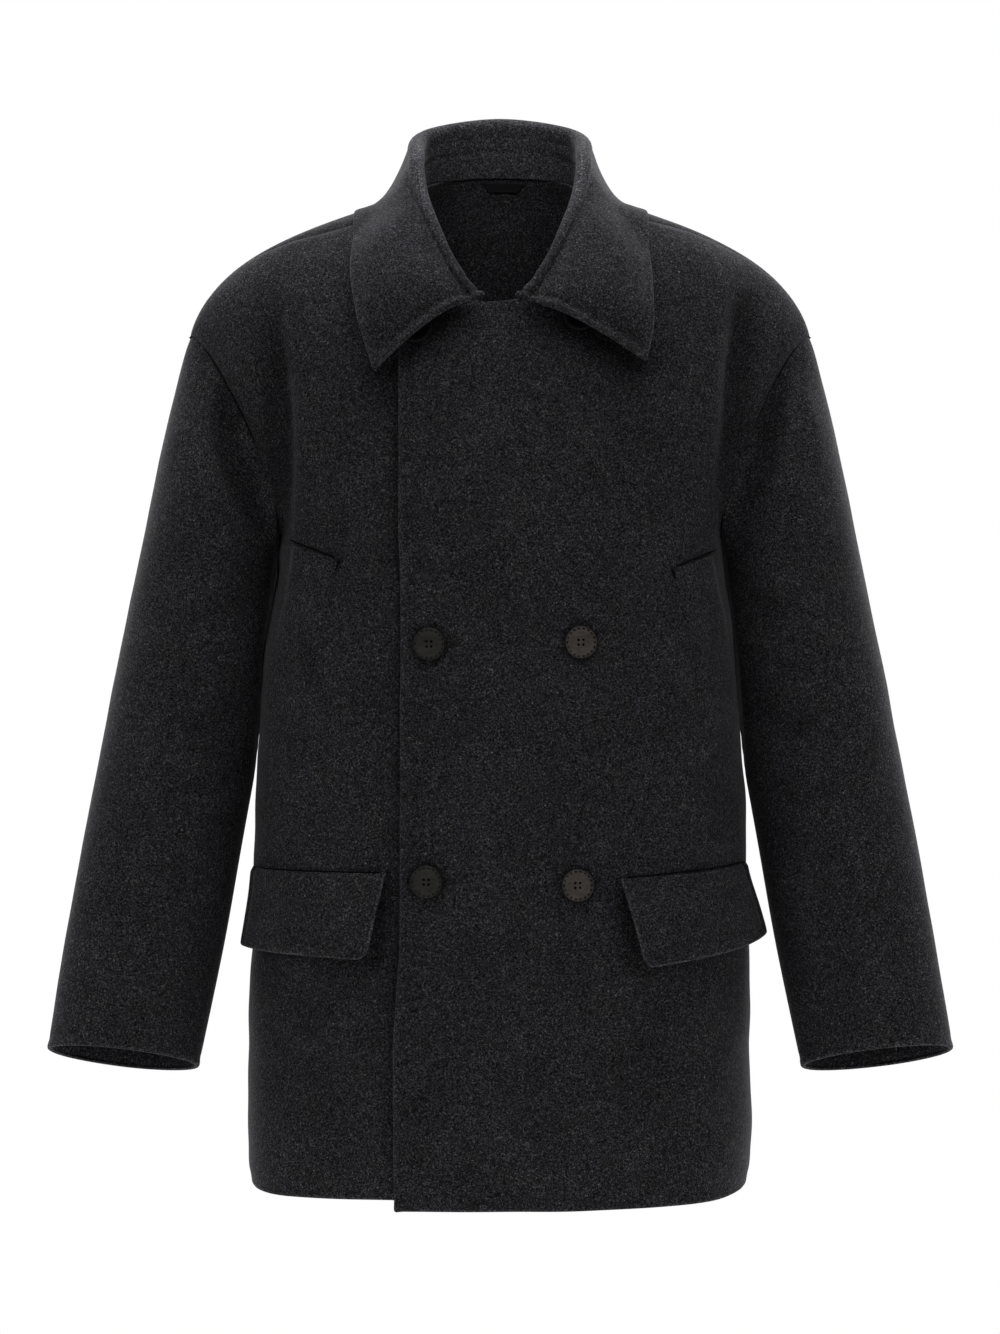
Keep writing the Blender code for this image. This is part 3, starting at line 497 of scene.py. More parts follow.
def form(s, level, face):
    """Points of the jacket's form. s: -1 to 1 across; level: -1 hem, 0 underarm, 1 shoulder ridge."""
    s, level = (np.array(a, float) for a in np.broadcast_arrays(s, level))
    side = np.where(s < 0.0, -1.0, 1.0)
    s = np.abs(s)
    sign = -1.0 if face == "front" else 1.0
    z = UNDERARM_Z + np.minimum(level, 0.0) * (UNDERARM_Z - HEM_Z)
    ring = ring_at(z)
    depth = ring[..., 2 if face == "front" else 3]
    xy = quarter(s, ring, depth)
    x, y = xy[..., 0], xy[..., 1]
    none = np.zeros_like(x)
    rise, flare, deep, full, _ = YOKE[face]
    top = ridge(s, face)
    start = np.stack((x, sign * y, z), -1)
    up = start + np.stack((flare * s**4, none, rise * (1.0 - 0.5 * s**3)), -1)
    neck = 1.0 - smoothstep(s / (1.4 * NECK_SHARE))
    drop = full * (1.0 - s) - SHOULDER_DROP * s - NECK_DROP * neck
    over_y = sign * deep * (np.maximum(y, 0.0) / depth)**FACE_POWER
    over = np.stack((top[..., 0], over_y, top[..., 2] + drop), -1)
    point = bezier(np.maximum(level, 0.0), start, up, over, top)
    point[..., 0] *= side
    return point


def form_normal(s, level, face):
    """Outward normals of the form, from small steps along it."""
    step = 1e-4
    across = form(s + step, level, face) - form(s - step, level, face)
    upward = form(s, level + step, face) - form(s, level - step, face)
    normal = unit(np.cross(across, upward))
    return -normal if face == "back" else normal


def on_form(s, level, face, side):
    """Points and normals of the form on one side: 1 the wearer's left, -1 the right."""
    mirror = (side, 1.0, 1.0)
    return form(s, level, face) * mirror, form_normal(s, level, face) * mirror


def column_at(x, level):
    """s of the front form that lies at x on a level."""
    none = np.zeros(np.broadcast(x, level).shape)
    return np.copysign(halve(lambda s: form(s, level, "front")[..., 0] < np.abs(x), none, none + 1.0), x)


def level_at(s, z):
    """Level of the front form's column s at height z."""
    none = np.zeros(np.broadcast(s, z).shape)
    return halve(lambda level: form(s, level, "front")[..., 2] < z, none - 1.1, none + 1.0)


def spot(x, z):
    """s and level of the places on the front form seen at x, z."""
    x, z = np.broadcast_arrays(np.asarray(x, float), z)
    level = level_at(0.4, z)
    for _ in range(6):
        s = column_at(x, level)
        level = level_at(s, z)
    return np.stack((s, level), -1)


def lap_lift(s, level):
    """How far the overlapping front lies above the form."""
    return LAP_LIFT * falling(s, *LAP_FADE_ACROSS) * falling(level, *LAP_FADE_UP)


def armhole(angle, face):
    """s and level on the armhole: angle 0 at the underarm, pi at the shoulder tip."""
    share = angle / math.pi
    curve = (share / SCOOP_PEAK)**0.7 * ((1.0 - share) / (1.0 - SCOOP_PEAK))**2
    return 1.0 - YOKE[face][4] * curve, (1.0 - np.cos(angle)) / 2.0


def neck_level(s):
    """Top level of a front's column: shoulder ridge, neckline, or the straight top edge."""
    straight = level_at(np.minimum(s, 0.0), FRONT_NECK_Z)
    inside = np.clip(s / NECK_SHARE, 0.0, 1.0)
    return straight + (1.0 - straight) * (1.0 - np.sqrt(1.0 - inside**NECK_POWER))


def panel_place(s, row, face, first, tops):
    """s and level on a body panel; row: 0 hem, 1 underarm, 2 shoulder; first: s of its inner edge."""
    climb = np.clip(row - 1.0, 0.0, 1.0)
    share = (s - first) / (1.0 - first)
    s_out, level_out = armhole(math.pi * climb, face)
    weight = share**3
    level = tops * ((1.0 - weight) * climb + weight * level_out)
    low = row <= 1.0
    return np.where(low, s, s - (1.0 - s_out) * share**2), np.where(low, row - 1.0, level)


# ---- creases and waves -------------------------------------------------------------------------
def line_distance(seen, points):
    """Distance of points seen in front from a smooth line, where along it they are, and on which hand."""
    path = smooth_row(points, np.linspace(0.0, len(points) - 1.0, 4 * len(points)))
    nearest = np.full(seen.shape[:-1], 1e9)
    along, hand = np.zeros((2, *seen.shape[:-1]))
    for k, (a, b) in enumerate(zip(path, path[1:])):
        step = b - a
        t = np.clip(((seen - a) @ step) / (step @ step), 0.0, 1.0)
        away = seen - a - t[..., None] * step
        distance = np.linalg.norm(away, axis=-1)
        closer = distance < nearest
        along = np.where(closer, (k + t) / (len(path) - 1), along)
        hand = np.where(closer, np.sign(step[0] * away[..., 1] - step[1] * away[..., 0]), hand)
        nearest = np.minimum(nearest, distance)
    return nearest, along, hand


def crease_height(place, creases):
    """Height added to the cloth by creases that run through points seen in front."""
    seen = place[..., ::2]
    end, fullness = CREASE_FADE
    berm, berm_place = CREASE_BERM
    total = np.zeros(seen.shape[:-1])
    for points, width, height, lean in creases:
        distance, along, hand = line_distance(seen, points)
        full = np.sin(np.pi * np.clip(along, end, 1.0 - end))**fullness
        share = distance / (width * (1.0 - CREASE_LEAN * lean * hand))
        total += height * full * (bell(share, 1.0) - berm * bell(share - berm_place, 1.0))
    return total


def painted_edge_highlight(grid, edges, reach, share):
    """Mask of painted highlight along free edges."""
    return share * bell(edge_near(grid, edges), reach)


def painted_fold_shade(place, creases, edge_shadows=(), buttons=()):
    """Mask of painted shade: 1 in the deepest troughs, less as painted shadow under edges and round buttons.
    """
    mask = smoothstep(-crease_height(place, creases) / FOLD_SHADE_DEPTH)
    for points, reach, share in edge_shadows:
        distance, along, _ = line_distance(place[..., ::2], points)
        mask = np.maximum(mask, share * bell(distance, reach) * smoothstep(along / SHADOW_FADE_IN))
    reach, share = BUTTON_SHADE
    for x, z in buttons:
        distance = np.hypot(place[..., 0] - x, place[..., 2] - z) - BUTTON_RADIUS
        mask = np.maximum(mask, share * bell(np.maximum(distance, 0.0), reach))
    return mask


def wave_height(place):
    """Height of the low waves all over the cloth."""
    total = np.zeros(place.shape[:-1])
    for dx, dz, rate, height, phase in WAVES:
        total += height * np.sin(2.0 * np.pi * rate * (dx * place[..., 0] + dz * place[..., 2]) + phase)
    return total


def cloth_height(place, share, level, face, strength):
    """Height of the cloth above the form; creases fade beside the seams (share 1) and the shoulder."""
    creases = FRONT_CREASES if face == "front" else BACK_CREASES
    inside = falling(np.abs(share), *CREASE_END)
    below = falling(level, *WAVE_END)
    return strength * below * (inside * crease_height(place, creases) + wave_height(place))


# ---- shells ------------------------------------------------------------------------------------
# Edges of a grid seen from outside: its axis, and which end of it.
FOOT, HEAD, LEFT, RIGHT = (0, 0), (0, -1), (1, 0), (1, -1)


def turned(grid, closed):
    """Steps of a grid up its rows and across its columns; a closed grid joins its sides."""
    if closed:
        around = np.concatenate((grid[:, -1:], grid, grid[:, :1]), axis=1)
        return np.gradient(grid, axis=0), np.gradient(around, axis=1)[:, 1:-1]
    return np.gradient(grid, axis=0), np.gradient(grid, axis=1)


def grid_normals(grid, closed=False):
    """Outward normals of a grid; where its top edge is pinched, those of the cloth beside it."""
    up, across = turned(grid, closed)
    normal = unit(np.cross(across, up))
    if closed:
        rows, agreement = TUBE_PINCH
        sound = normal[-rows - 1]
        pinched = np.min(np.sum(normal[-rows:] * sound, -1), axis=0) < agreement
        normal[-rows:, pinched] = sound[pinched]
    elif min(grid.shape[:2]) > PLAIN_GRID:
        rows, agreement = CORNER_PINCH
        for corner, inner in ((slice(0, rows - 1), rows - 1), (slice(1 - rows, None), -rows)):
            sound = normal[-rows - 1, inner]
            if np.min(normal[-rows:, corner] @ sound) < agreement:
                normal[-rows:, corner] = sound
    return normal


def raised(grid, height, closed=False):
    """The grid raised by the height along its normals."""
    return grid + grid_normals(grid, closed) * height[..., None]


def edge_distance(grid, axis, end):
    """Distance of each point from one edge of the grid."""
    steps = np.linalg.norm(np.diff(grid, axis=axis), axis=-1)
    if end == -1:
        steps = np.flip(steps, axis)
    total = np.cumsum(steps, axis=axis)
    total = np.concatenate((np.zeros_like(total[:1] if axis == 0 else total[:, :1]), total), axis=axis)
    return np.flip(total, axis) if end == -1 else total


def edge_near(grid, edges):
    """Distance of each point from the nearest of some edges."""
    return np.minimum.reduce([edge_distance(grid, *edge) for edge in edges])


def seam_height(distance, depth):
    """Height beside a sewn seam: a groove at the edge, and the soft ridge of the layers inside it."""
    groove, place, width, share = SEAM_PROFILE
    return depth * (share * bell(distance - place, width) - bell(distance, groove))


def edge_roll(distance, height):
    """Height of the thick turned edge of a faced or lined piece, and the dip inside it."""
    bead, dip, width, share = ROLL_PROFILE
    return height * (bell(distance - bead, width) - share * bell(distance - dip, width))


def inset(grid, reach, closed=False):
    """The grid with its edge rows, and its edge columns if open, drawn in by reach for the round rims."""
    grid = grid.copy()
    reach = np.broadcast_to(reach, grid.shape[:2])
    for axis in (0,) if closed else (0, 1):
        lines, reaches = np.moveaxis(grid, axis, 0), np.moveaxis(reach, axis, 0)
        for edge, inner in ((0, 1), (-1, -2)):
            step = lines[inner] - lines[edge]
            share = reaches[edge] / np.maximum(np.linalg.norm(step, axis=-1), 1e-9)
            lines[edge] += step * np.minimum(share, MAX_INSET)[:, None]
    return grid


def rim_loops(rows, columns, closed):
    """Grid indices of each open edge, walked with the cloth on its left."""
    index = np.arange(rows * columns).reshape(rows, columns)
    if closed:
        return [index[0], index[-1, ::-1]]
    return [np.concatenate((index[0, :-1], index[:-1, -1], index[-1, :0:-1], index[:0:-1, 0]))]


def shell(name, grid, wall, paint, closed=False, painted_shading=None):
    """Closed cloth of a wall's thickness behind a grid of outer points, with round rims and a mask of painted
    light and shade.
    """
    rows, columns = grid.shape[:2]
    normal = grid_normals(grid, closed)
    wall = np.broadcast_to(wall, (rows, columns))[..., None]
    outer = grid.reshape(-1, 3)
    inner = (grid - normal * wall).reshape(-1, 3)
    flat_normal, flat_wall = normal.reshape(-1, 3), wall.reshape(-1, 1)
    count = rows * columns
    verts = [outer, inner]
    index = np.arange(count).reshape(rows, columns)
    right = np.roll(index, -1, axis=1) if closed else index[:, 1:]
    left = index if closed else index[:, :-1]
    quads = np.stack((left[:-1], right[:-1], right[1:], left[1:]), -1).reshape(-1, 4)
    faces = [quads, quads[:, ::-1] + count]
    start = 2 * count
    owners = [np.arange(count)]
    for loop in rim_loops(rows, columns, closed):
        along = outer[np.roll(loop, -1)] - outer[np.roll(loop, 1)]
        out = unit(np.cross(along, flat_normal[loop]))
        radius = 0.5 * flat_wall[loop]
        centre = 0.5 * (outer[loop] + inner[loop])
        rings = [loop]
        for step in range(1, RIM_STEPS):
            turn = math.pi * step / RIM_STEPS
            verts.append(centre + radius * (flat_normal[loop] * math.cos(turn) + out * math.sin(turn)))
            rings.append(start + np.arange(len(loop)))
            start += len(loop)
        rings.append(loop + count)
        owners.append(np.tile(loop, RIM_STEPS - 1))
        for near, far in zip(rings, rings[1:]):
            faces.append(np.stack((near, far, np.roll(far, -1), np.roll(near, -1)), -1))
    made = plain_mesh(name, np.concatenate(verts), np.concatenate(faces), paint)
    if painted_shading is not None:
        mask = np.concatenate([painted_shading.ravel()[owner] for owner in owners]).astype(np.float32)
        mask = np.insert(mask, count, np.zeros(count, np.float32))
        made.data.attributes.new("painted_shading", "FLOAT", "POINT").data.foreach_set("value", mask)
    return made


def in_scene(name, data):
    """A new object linked to the scene."""
    made = bpy.data.objects.new(name, data)
    bpy.context.scene.collection.objects.link(made)
    return made


def plain_mesh(name, verts, faces, paint):
    """A smooth object of points and faces in one material."""
    mesh = bpy.data.meshes.new(name)
    mesh.from_pydata(verts.tolist(), [], faces.tolist())
    mesh.validate()
    mesh.materials.append(paint)
    mesh.shade_smooth()
    return in_scene(name, mesh)


def dress(piece, node):
    """Hang a finished piece on the frame in place of its node."""
    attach(piece, BODY)
    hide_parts(node)
    return piece


def cloth_piece(settings, name, grid, reach, wall, closed=False, painted_shading=None):
    """A shell of melton in place of its node, its edges drawn in by reach for their round rims."""
    made = shell("cloth_" + name, inset(grid, reach, closed), wall, melton(settings), closed, painted_shading)
    dress(made, name)


def search_tree(grids):
    """Search tree over outer grids."""
    verts, faces = [], []
    for grid in grids:
        rows, columns = grid.shape[:2]
        index = np.arange(rows * columns).reshape(rows, columns) + len(verts)
        quads = np.stack((index[:-1, :-1], index[:-1, 1:], index[1:, 1:], index[1:, :-1]), -1)
        faces += quads.reshape(-1, 4).tolist()
        verts += grid.reshape(-1, 3).tolist()
    return BVHTree.FromPolygons([Vector(vert) for vert in verts], faces)


def lay_on(grid, tree, height, where):
    """The grid with the points marked by where moved out to at least height above the cloth below."""
    grid = grid.copy()
    for index in zip(*np.nonzero(where)):
        point = Vector(grid[index])
        near, normal, _, distance = tree.find_nearest(point)
        above = (point - near).dot(normal)
        if distance < LEAF_RANGE and above < height[index]:
            grid[index] = point + normal * (height[index] - above)
    return grid


# ---- body, sleeves and collar ------------------------------------------------------------------
# Rows of a body panel: 0 at the hem, 1 at the underarm, 2 at the shoulder.
BODY_ROWS = np.concatenate((eased(BODY_STEPS[0], BODY_EASE), 1.0 + eased(BODY_STEPS[1], BODY_EASE)[1:]))


def seam_forward(s):
    """Share of the climb by which the shoulder seam lies in front of the ridge; none at neck and tip."""
    share, power, start = SEAM_FORWARD
    return share * (1.0 - s)**power * smoothstep((s - NECK_SHARE) / start)


def body_columns(first, columns, rows):
    """s and row of a panel's grid: even columns below the underarm, the given ones at the top."""
    even = np.linspace(first, 1.0, len(columns))
    columns, row = np.meshgrid(columns, rows)
    return even + (columns - even) * smoothstep(row - 1.0), row


@functools.cache
def lap_edge():
    """s of the fronts' free edges past the centre line."""
    return -float(column_at(LAP_X, LAP_LEVEL))


def front_surface(share, row, tops, side, strength):
    """Points of a front's cloth at places of its panel, and their s."""
    first = lap_edge()
    s, level = panel_place(share, row, "front", first, tops)
    edge = level[:, :1]
    line = np.interp(form(np.full_like(edge, first), edge, "front")[..., 2], *np.transpose(LAP_LINE))
    s = np.where(s < 0.0, s * column_at(line, edge) / -first, s)
    grid, normal = on_form(s, level, "front", side)
    height = cloth_height(grid, share, level, "front", strength)
    if side > 0.0:
        height = height + lap_lift(s, level)
    return grid + normal * height[..., None], s


def round_hem(grid, s, row, rise):
    """The grid with its hem raised, and drawn in and up beside the side seams."""
    height, inwards, upwards = HEM_CORNER
    start, width = HEM_CORNER_START
    grid = grid.copy()
    grid[..., 2] += rise * np.clip(1.0 - HEM_RISE_RATE * row, 0.0, 1.0)
    low = np.clip(1.0 - (grid[..., 2] - HEM_Z) / height, 0.0, 1.0)
    near = smoothstep((np.abs(s) - start) / width) * low**2
    grid[..., 0] *= 1.0 - inwards * near
    grid[..., 2] += upwards * near
    return grid


@functools.cache
def front_grid(side, strength):
    """Outer points of one front, from its edge past the centre line to the side seam and shoulder."""
    first = lap_edge()
    lap, neck, yoke = FRONT_COLUMNS
    turn = 0.5 * np.pi * np.linspace(0.0, 1.0, neck + 1)[1:]
    columns = np.concatenate((first * (1.0 - eased(lap, LAP_EASE)),
                              NECK_SHARE * np.sin(turn)**(2.0 / NECK_POWER),
                              NECK_SHARE + (1.0 - NECK_SHARE) * eased(yoke, BODY_EASE)[1:]))
    share, row = body_columns(first, columns, BODY_ROWS)
    row = row - np.maximum(row - 1.0, 0.0) * seam_forward(np.maximum(columns, NECK_SHARE))
    grid, s = front_surface(share, row, neck_level(columns), side, strength)
    centre_rise = 0.0 if side > 0.0 else HEM_UNDERLAP_RISE
    grid = round_hem(grid, s, row, centre_rise + (HEM_SIDE_RISE - centre_rise) * smoothstep(s))
    shoulder = columns >= NECK_SHARE - 1e-6
    return (grid, shoulder) if side > 0.0 else (grid[:, ::-1], shoulder[::-1])


@functools.cache
def back_grid(strength):
    """Outer points of the back, from the left side seam to the right one, over the ridge to the seam."""
    neck, yoke = BACK_COLUMNS
    turn = 0.5 * np.pi * np.linspace(0.0, 1.0, neck + 1)
    half = np.concatenate((NECK_SHARE * np.sin(turn),
                           NECK_SHARE + (1.0 - NECK_SHARE) * eased(yoke, BODY_EASE)[1:]))
    share, row = body_columns(0.0, half, BODY_ROWS)
    row = row + np.maximum(row - 1.0, 0.0) * seam_forward(half)
    s, level = panel_place(share, np.minimum(row, 2.0), "back", 0.0, 1.0)
    halves = []
    for side in (1.0, -1.0):
        grid, normal = on_form(s, level, "back", side)
        grid += normal * cloth_height(grid, share, level, "back", strength)[..., None]
        grid = round_hem(grid, s, row, HEM_SIDE_RISE * smoothstep(s))
        over = front_surface(share, np.minimum(4.0 - row, 2.0), 1.0, side, strength)[0]
        halves.append(np.where((row > 2.0)[..., None], over, grid))
    return np.concatenate((halves[0][:, :0:-1], halves[1]), 1)


def sewn_distance(grid, sides, shoulder):
    """Distance from a body panel's sewn edges: the named sides, and the shoulder where its mask says so."""
    return np.minimum(edge_near(grid, sides), edge_distance(grid, *HEAD) + ~shoulder)


def sew(grid, sides, shoulder, depth):
    """The grid with the named sides and its shoulder drawn in as sewn seams."""
    end, width = SINK_END
    top = shoulder * bell(edge_distance(grid, *HEAD), SINK_WIDTH)
    top = top * smoothstep((end - np.abs(grid[..., 0])) / width)
    return raised(grid, seam_height(sewn_distance(grid, sides, shoulder), depth) - SHOULDER_SINK * top)


def edge_reach(wall, sewn_top):
    """How far edges are drawn in for rims half as wide as the wall; the neck edge stays where it is."""
    reach = 0.5 * (wall - SEAM_LAP)
    reach[-1] *= sewn_top
    return reach


def facing(grid, thin, thick, edges):
    """Wall that is thick near free edges and thin elsewhere."""
    return thin + (thick - thin) * falling(edge_near(grid, edges), FACING_WIDTH, FACING_FADE)


def pressed(wall, distance):
    """The wall, thin beside a sewn edge, so that the seam reads as a fine line."""
    return wall + (SEWN_WALL - wall) * falling(distance, 0.0, PRESS_WIDTH)


def side_of(name):
    """1 for a piece on the wearer's left, -1 for one on the right."""
    return 1.0 if name.endswith("left") else -1.0


def sleeve_ring(t, angle):
    """Points of the sleeve at t rows of the table; angle 0 outside, pi/2 in front."""
    row = smooth_row(SLEEVE, t)
    outer = np.stack((row[..., 0], row[..., 4], row[..., 1]), -1)
    inner = np.stack((row[..., 2], row[..., 4], row[..., 3]), -1)
    forward = np.stack((np.zeros_like(t), -row[..., 5], row[..., 5] * row[..., 6]), -1)
    return (0.5 * (outer + inner) + 0.5 * (outer - inner) * np.cos(angle)[..., None]
            + forward * np.sin(angle)[..., None])


def armhole_point(angle):
    """Points of the armhole's edge: angle 0 at the shoulder tip, pi/2 in front, pi at the underarm."""
    around = np.abs(math.pi - angle)
    front = form(*armhole(around, "front"), "front")
    behind = form(*armhole(around, "back"), "back")
    return np.where((angle <= math.pi)[..., None], front, behind)


def beside_body(place):
    """The points, moved out to the arm gap from the side of the body."""
    x, y, z = np.moveaxis(place, -1, 0)
    ring = ring_at(z)
    depth = np.where(y < 0.0, ring[..., 2], ring[..., 3])
    s = halve(lambda m: quarter(m, ring, depth)[..., 1] > np.abs(y), np.zeros_like(x), np.ones_like(x))
    side = quarter(s, ring, depth)[..., 0] + ARM_GAP
    touching = (z < UNDERARM_Z) & (np.abs(y) < ARM_REACH)
    place = place.copy()
    place[..., 0] = np.where(touching, np.maximum(x, side), x)
    return place


@functools.cache
def sleeve_grid(name, strength):
    """Outer points of a sleeve, from the cuff up to the armhole, closed around."""
    side = side_of(name)
    turn = np.arange(SLEEVE_COLUMNS) / SLEEVE_COLUMNS
    angle = 2.0 * math.pi * (turn if side < 0 else (1.0 - turn) % 1.0)
    t = (len(SLEEVE) - 1.0) * (1.0 - eased(SLEEVE_ROWS, SLEEVE_EASE))
    angle, t = np.meshgrid(angle, t)
    to_armhole = armhole_point(angle) - sleeve_ring(np.zeros_like(t), angle)
    place = beside_body(sleeve_ring(t, angle) + to_armhole * falling(t, 0.0, CAP_ROWS)[..., None])
    ahead = unit(sleeve_ring(np.full_like(t[-1:], 0.5), angle[-1:]) - place[-1:])
    place[-1:] = beside_body(place[-1:] + ahead * ARMHOLE_GAP)
    place[..., 0] *= side
    front = smoothstep(0.5 + FACE_BLEND * np.sin(angle))
    height = front * crease_height(place, SLEEVE_CREASES[name, "front"])
    height += (1.0 - front) * crease_height(place, SLEEVE_CREASES[name, "back"])
    height += wave_height(place) * (1.0 - OUTER_CALM * np.maximum(np.cos(angle), 0.0)**2)
    clear = smoothstep((np.cos(angle) + 1.0) / INNER_CALM)
    clear = clear * smoothstep(edge_distance(place, *HEAD) / HEAD_CALM)
    return raised(place, strength * height * clear, True)


def collar_table(side):
    """Collar sections as flat rows in metres, with one past the centre back mirrored."""
    rows = [list(row) for row in COLLAR]
    if side < 0:
        for row, (bend, edge) in zip(rows, LEAF_RIGHT):
            row[3], row[4] = bend, edge
    rows = [[*seam, *roll, *bend, *edge, radius, joint * 1000.0]
            for seam, roll, radius, bend, edge, joint in rows]
    past = [-value if k in (0, 3, 6, 9) else value for k, value in enumerate(rows[-2])]
    return np.array(rows + [past]) / 1000.0


def collar_point(t, p, side):
    """Visible face of one half; t in sections from the front end, p from the neck seam to the edge."""
    table = collar_table(side)
    row = smooth_row(table, t)
    seam, roll, bend, edge = (row[..., k:k + 3] for k in (0, 3, 6, 9))
    radius = row[..., 12:13]
    ahead = smooth_row(table, t + 0.05)[..., 3:6] - smooth_row(table, np.maximum(t - 0.05, 0.0))[..., 3:6]
    up = unit(roll - seam)
    out = unit(np.cross(ahead, up))
    centre = roll - up * radius
    stand = bezier(p / STAND_END, seam, centre - out * radius)
    turn = (math.pi * (p - STAND_END) / (FOLD_END - STAND_END))[..., None]
    fold = centre + radius * (up * np.sin(turn) - out * np.cos(turn))
    leaf = bezier((p - FOLD_END) / (1.0 - FOLD_END), centre + out * radius, bend, edge)
    place = np.where((p <= STAND_END)[..., None], stand, np.where((p <= FOLD_END)[..., None], fold, leaf))
    place[..., 0] *= side
    return place


def collar_grid(shares, joint_side):
    """Outer points and p of the stand (joint_side -1) or the fall (1), round from the right front end."""
    half = eased(COLLAR_STEPS, COLLAR_EASE) * (len(COLLAR) - 1.0)
    halves = []
    for side in (-1.0, 1.0):
        t, share = np.meshgrid(half, shares)
        joint = smooth_row(collar_table(side), t)[..., 13]
        if joint_side < 0:
            p = share * (joint - JOINT_GAP) - STAND_TUCK * (1.0 - share)
        else:
            p = joint + JOINT_GAP + share * (1.0 - joint - JOINT_GAP)
        halves.append((collar_point(t, p, side), p))
    (right, p_right), (left, p_left) = halves
    return np.concatenate((right, left[:, -2::-1]), 1), np.concatenate((p_right, p_left[:, -2::-1]), 1)


# ---- pockets, tab and buttons ------------------------------------------------------------------
def on_front(s, level, side, height, strength):
    """Points and normals at a height above the front of one side."""
    lift = lap_lift(s, level) if side > 0 else 0.0
    place, normal = on_form(s, level, "front", side)
    height = height + lift + cloth_height(place, s, level, "front", strength)
    return place + normal * height[..., None], normal


def seen_on_front(x, z, side, height, strength):
    """Points and normals at a height above the places of a front seen at x, z."""
    s, level = np.moveaxis(spot(x, z), -1, 0)
    return on_front(s, level, side, height, strength)


def patch_grid(name, corners, steps, rounding, height_at, strength):
    """Outer points of a piece that lies on a front between four corners seen in front, and their shares."""
    columns, rows = steps
    side = side_of(name)
    top_inner, top_outer, foot_inner, foot_outer = (spot(x, z) for x, z in corners)
    across, up = np.meshgrid(np.linspace(0.0, 1.0, columns + 1), np.linspace(0.0, 1.0, rows + 1))
    if side < 0:
        across = 1.0 - across
    low = np.maximum(1.0 - up / ROUNDED_SHARE, 0.0)
    pinch = rounding * (1.0 - np.sqrt(1.0 - low * low))
    rounded = (0.5 + (across - 0.5) * (1.0 - 2.0 * pinch))[..., None]
    top = top_inner + (top_outer - top_inner) * rounded
    foot = foot_inner + (foot_outer - foot_inner) * rounded
    s, level = np.moveaxis(foot + (top - foot) * up[..., None], -1, 0)
    return on_front(s, level, side, height_at(across, up), strength)[0], across, up


def button_frame(name, strength):
    """Matrix that puts a button made flat at the origin on its front."""
    place, normal = seen_on_front(*BUTTONS[name], 1.0, BUTTON_CLEARANCE, strength)
    turn = Vector(normal).to_track_quat("Z", "Y").to_matrix().to_4x4()
    return Matrix.Translation(Vector(place)) @ turn


def turned_blank():
    """A button turned from its profile, without holes."""
    bm = bmesh.new()
    verts = [bm.verts.new((r * BUTTON_RADIUS, 0.0, z * BUTTON_THICKNESS)) for r, z in BUTTON_PROFILE]
    edges = [bm.edges.new(pair) for pair in zip(verts, verts[1:])]
    bmesh.ops.spin(bm, geom=verts + edges, axis=(0, 0, 1), cent=(0, 0, 0), angle=2.0 * math.pi, steps=56,
                   use_merge=True)
    bmesh.ops.remove_doubles(bm, verts=bm.verts, dist=1e-6)
    bmesh.ops.recalc_face_normals(bm, faces=bm.faces)
    return object_from(bm, "button_blank")


def hole_drill():
    """Four round bars where a button's holes are."""
    bm = bmesh.new()
    for x in (-HOLE_OFFSET, HOLE_OFFSET):
        for y in (-HOLE_OFFSET, HOLE_OFFSET):
            bar = bmesh.ops.create_cone(bm, cap_ends=True, segments=20, radius1=HOLE_RADIUS,
                                        radius2=HOLE_RADIUS, depth=4.0 * BUTTON_THICKNESS)
            bmesh.ops.translate(bm, verts=bar["verts"], vec=(x, y, 0.0))
    return object_from(bm, "button_drill")


def button_mesh():
    """A turned button with a soft edge, a shallow dish and four holes, and the mask of the painted shade
    round its rim.
    """
    blank, drill = turned_blank(), hole_drill()
    cut = blank.modifiers.new("holes", "BOOLEAN")
    cut.object = drill
    cut.operation = "DIFFERENCE"
    soften = blank.modifiers.new("soft", "BEVEL")
    soften.width = BUTTON_BEVEL
    soften.segments = 2
    soften.limit_method = "ANGLE"
    soften.angle_limit = math.radians(50.0)
    mesh = evaluated_mesh(blank, "button")
    for spare in (blank, drill):
        bpy.data.objects.remove(spare)
    mesh.shade_smooth()
    mesh.set_sharp_from_angle(angle=math.radians(40.0))
    place = np.empty(3 * len(mesh.vertices), np.float32)
    mesh.vertices.foreach_get("co", place)
    place = place.reshape(-1, 3)
    start, width = RIM_SHADE_START
    painted_rim_shade = smoothstep((np.hypot(place[:, 0], place[:, 1]) / BUTTON_RADIUS - start) / width)
    mesh.attributes.new("painted_rim_shade", "FLOAT", "POINT").data.foreach_set("value", painted_rim_shade.astype(np.float32))
    return mesh


def mesh_from(bm, name):
    """Plain mesh of what was modelled."""
    mesh = bpy.data.meshes.new(name)
    bm.to_mesh(mesh)
    bm.free()
    return mesh


def object_from(bm, name):
    """Object of what was modelled."""
    return in_scene(name, mesh_from(bm, name))


def evaluated_mesh(source, name):
    """Plain mesh of an object with its modifiers."""
    bpy.context.view_layer.update()
    graph = bpy.context.evaluated_depsgraph_get()
    mesh = bpy.data.meshes.new_from_object(source.evaluated_get(graph))
    mesh.name = name
    return mesh


# ---- node trees that repeat small things -------------------------------------------------------
def tree_link(tree, made, name, value):
    """Feed a node input with a socket or set it to a value."""
    if isinstance(value, bpy.types.NodeSocket):
        tree.links.new(value, made.inputs[name])
    elif value is not None:
        made.inputs[name].default_value = value


def add_node(tree, kind, inputs=(), **properties):
    """A node with its properties set first, then its inputs fed or set."""
    made = tree.nodes.new(kind)
    for name, value in properties.items():
        setattr(made, name, value)
    for name, value in dict(inputs).items():
        tree_link(tree, made, name, value)
    return made


def new_sockets(tree, side, sockets):
    """Add named sockets (kind, default) to the input or output side of a tree."""
    for label, (kind, default) in sockets.items():
        socket = tree.interface.new_socket(label, in_out=side, socket_type=kind)
        if default is not None:
            socket.default_value = default


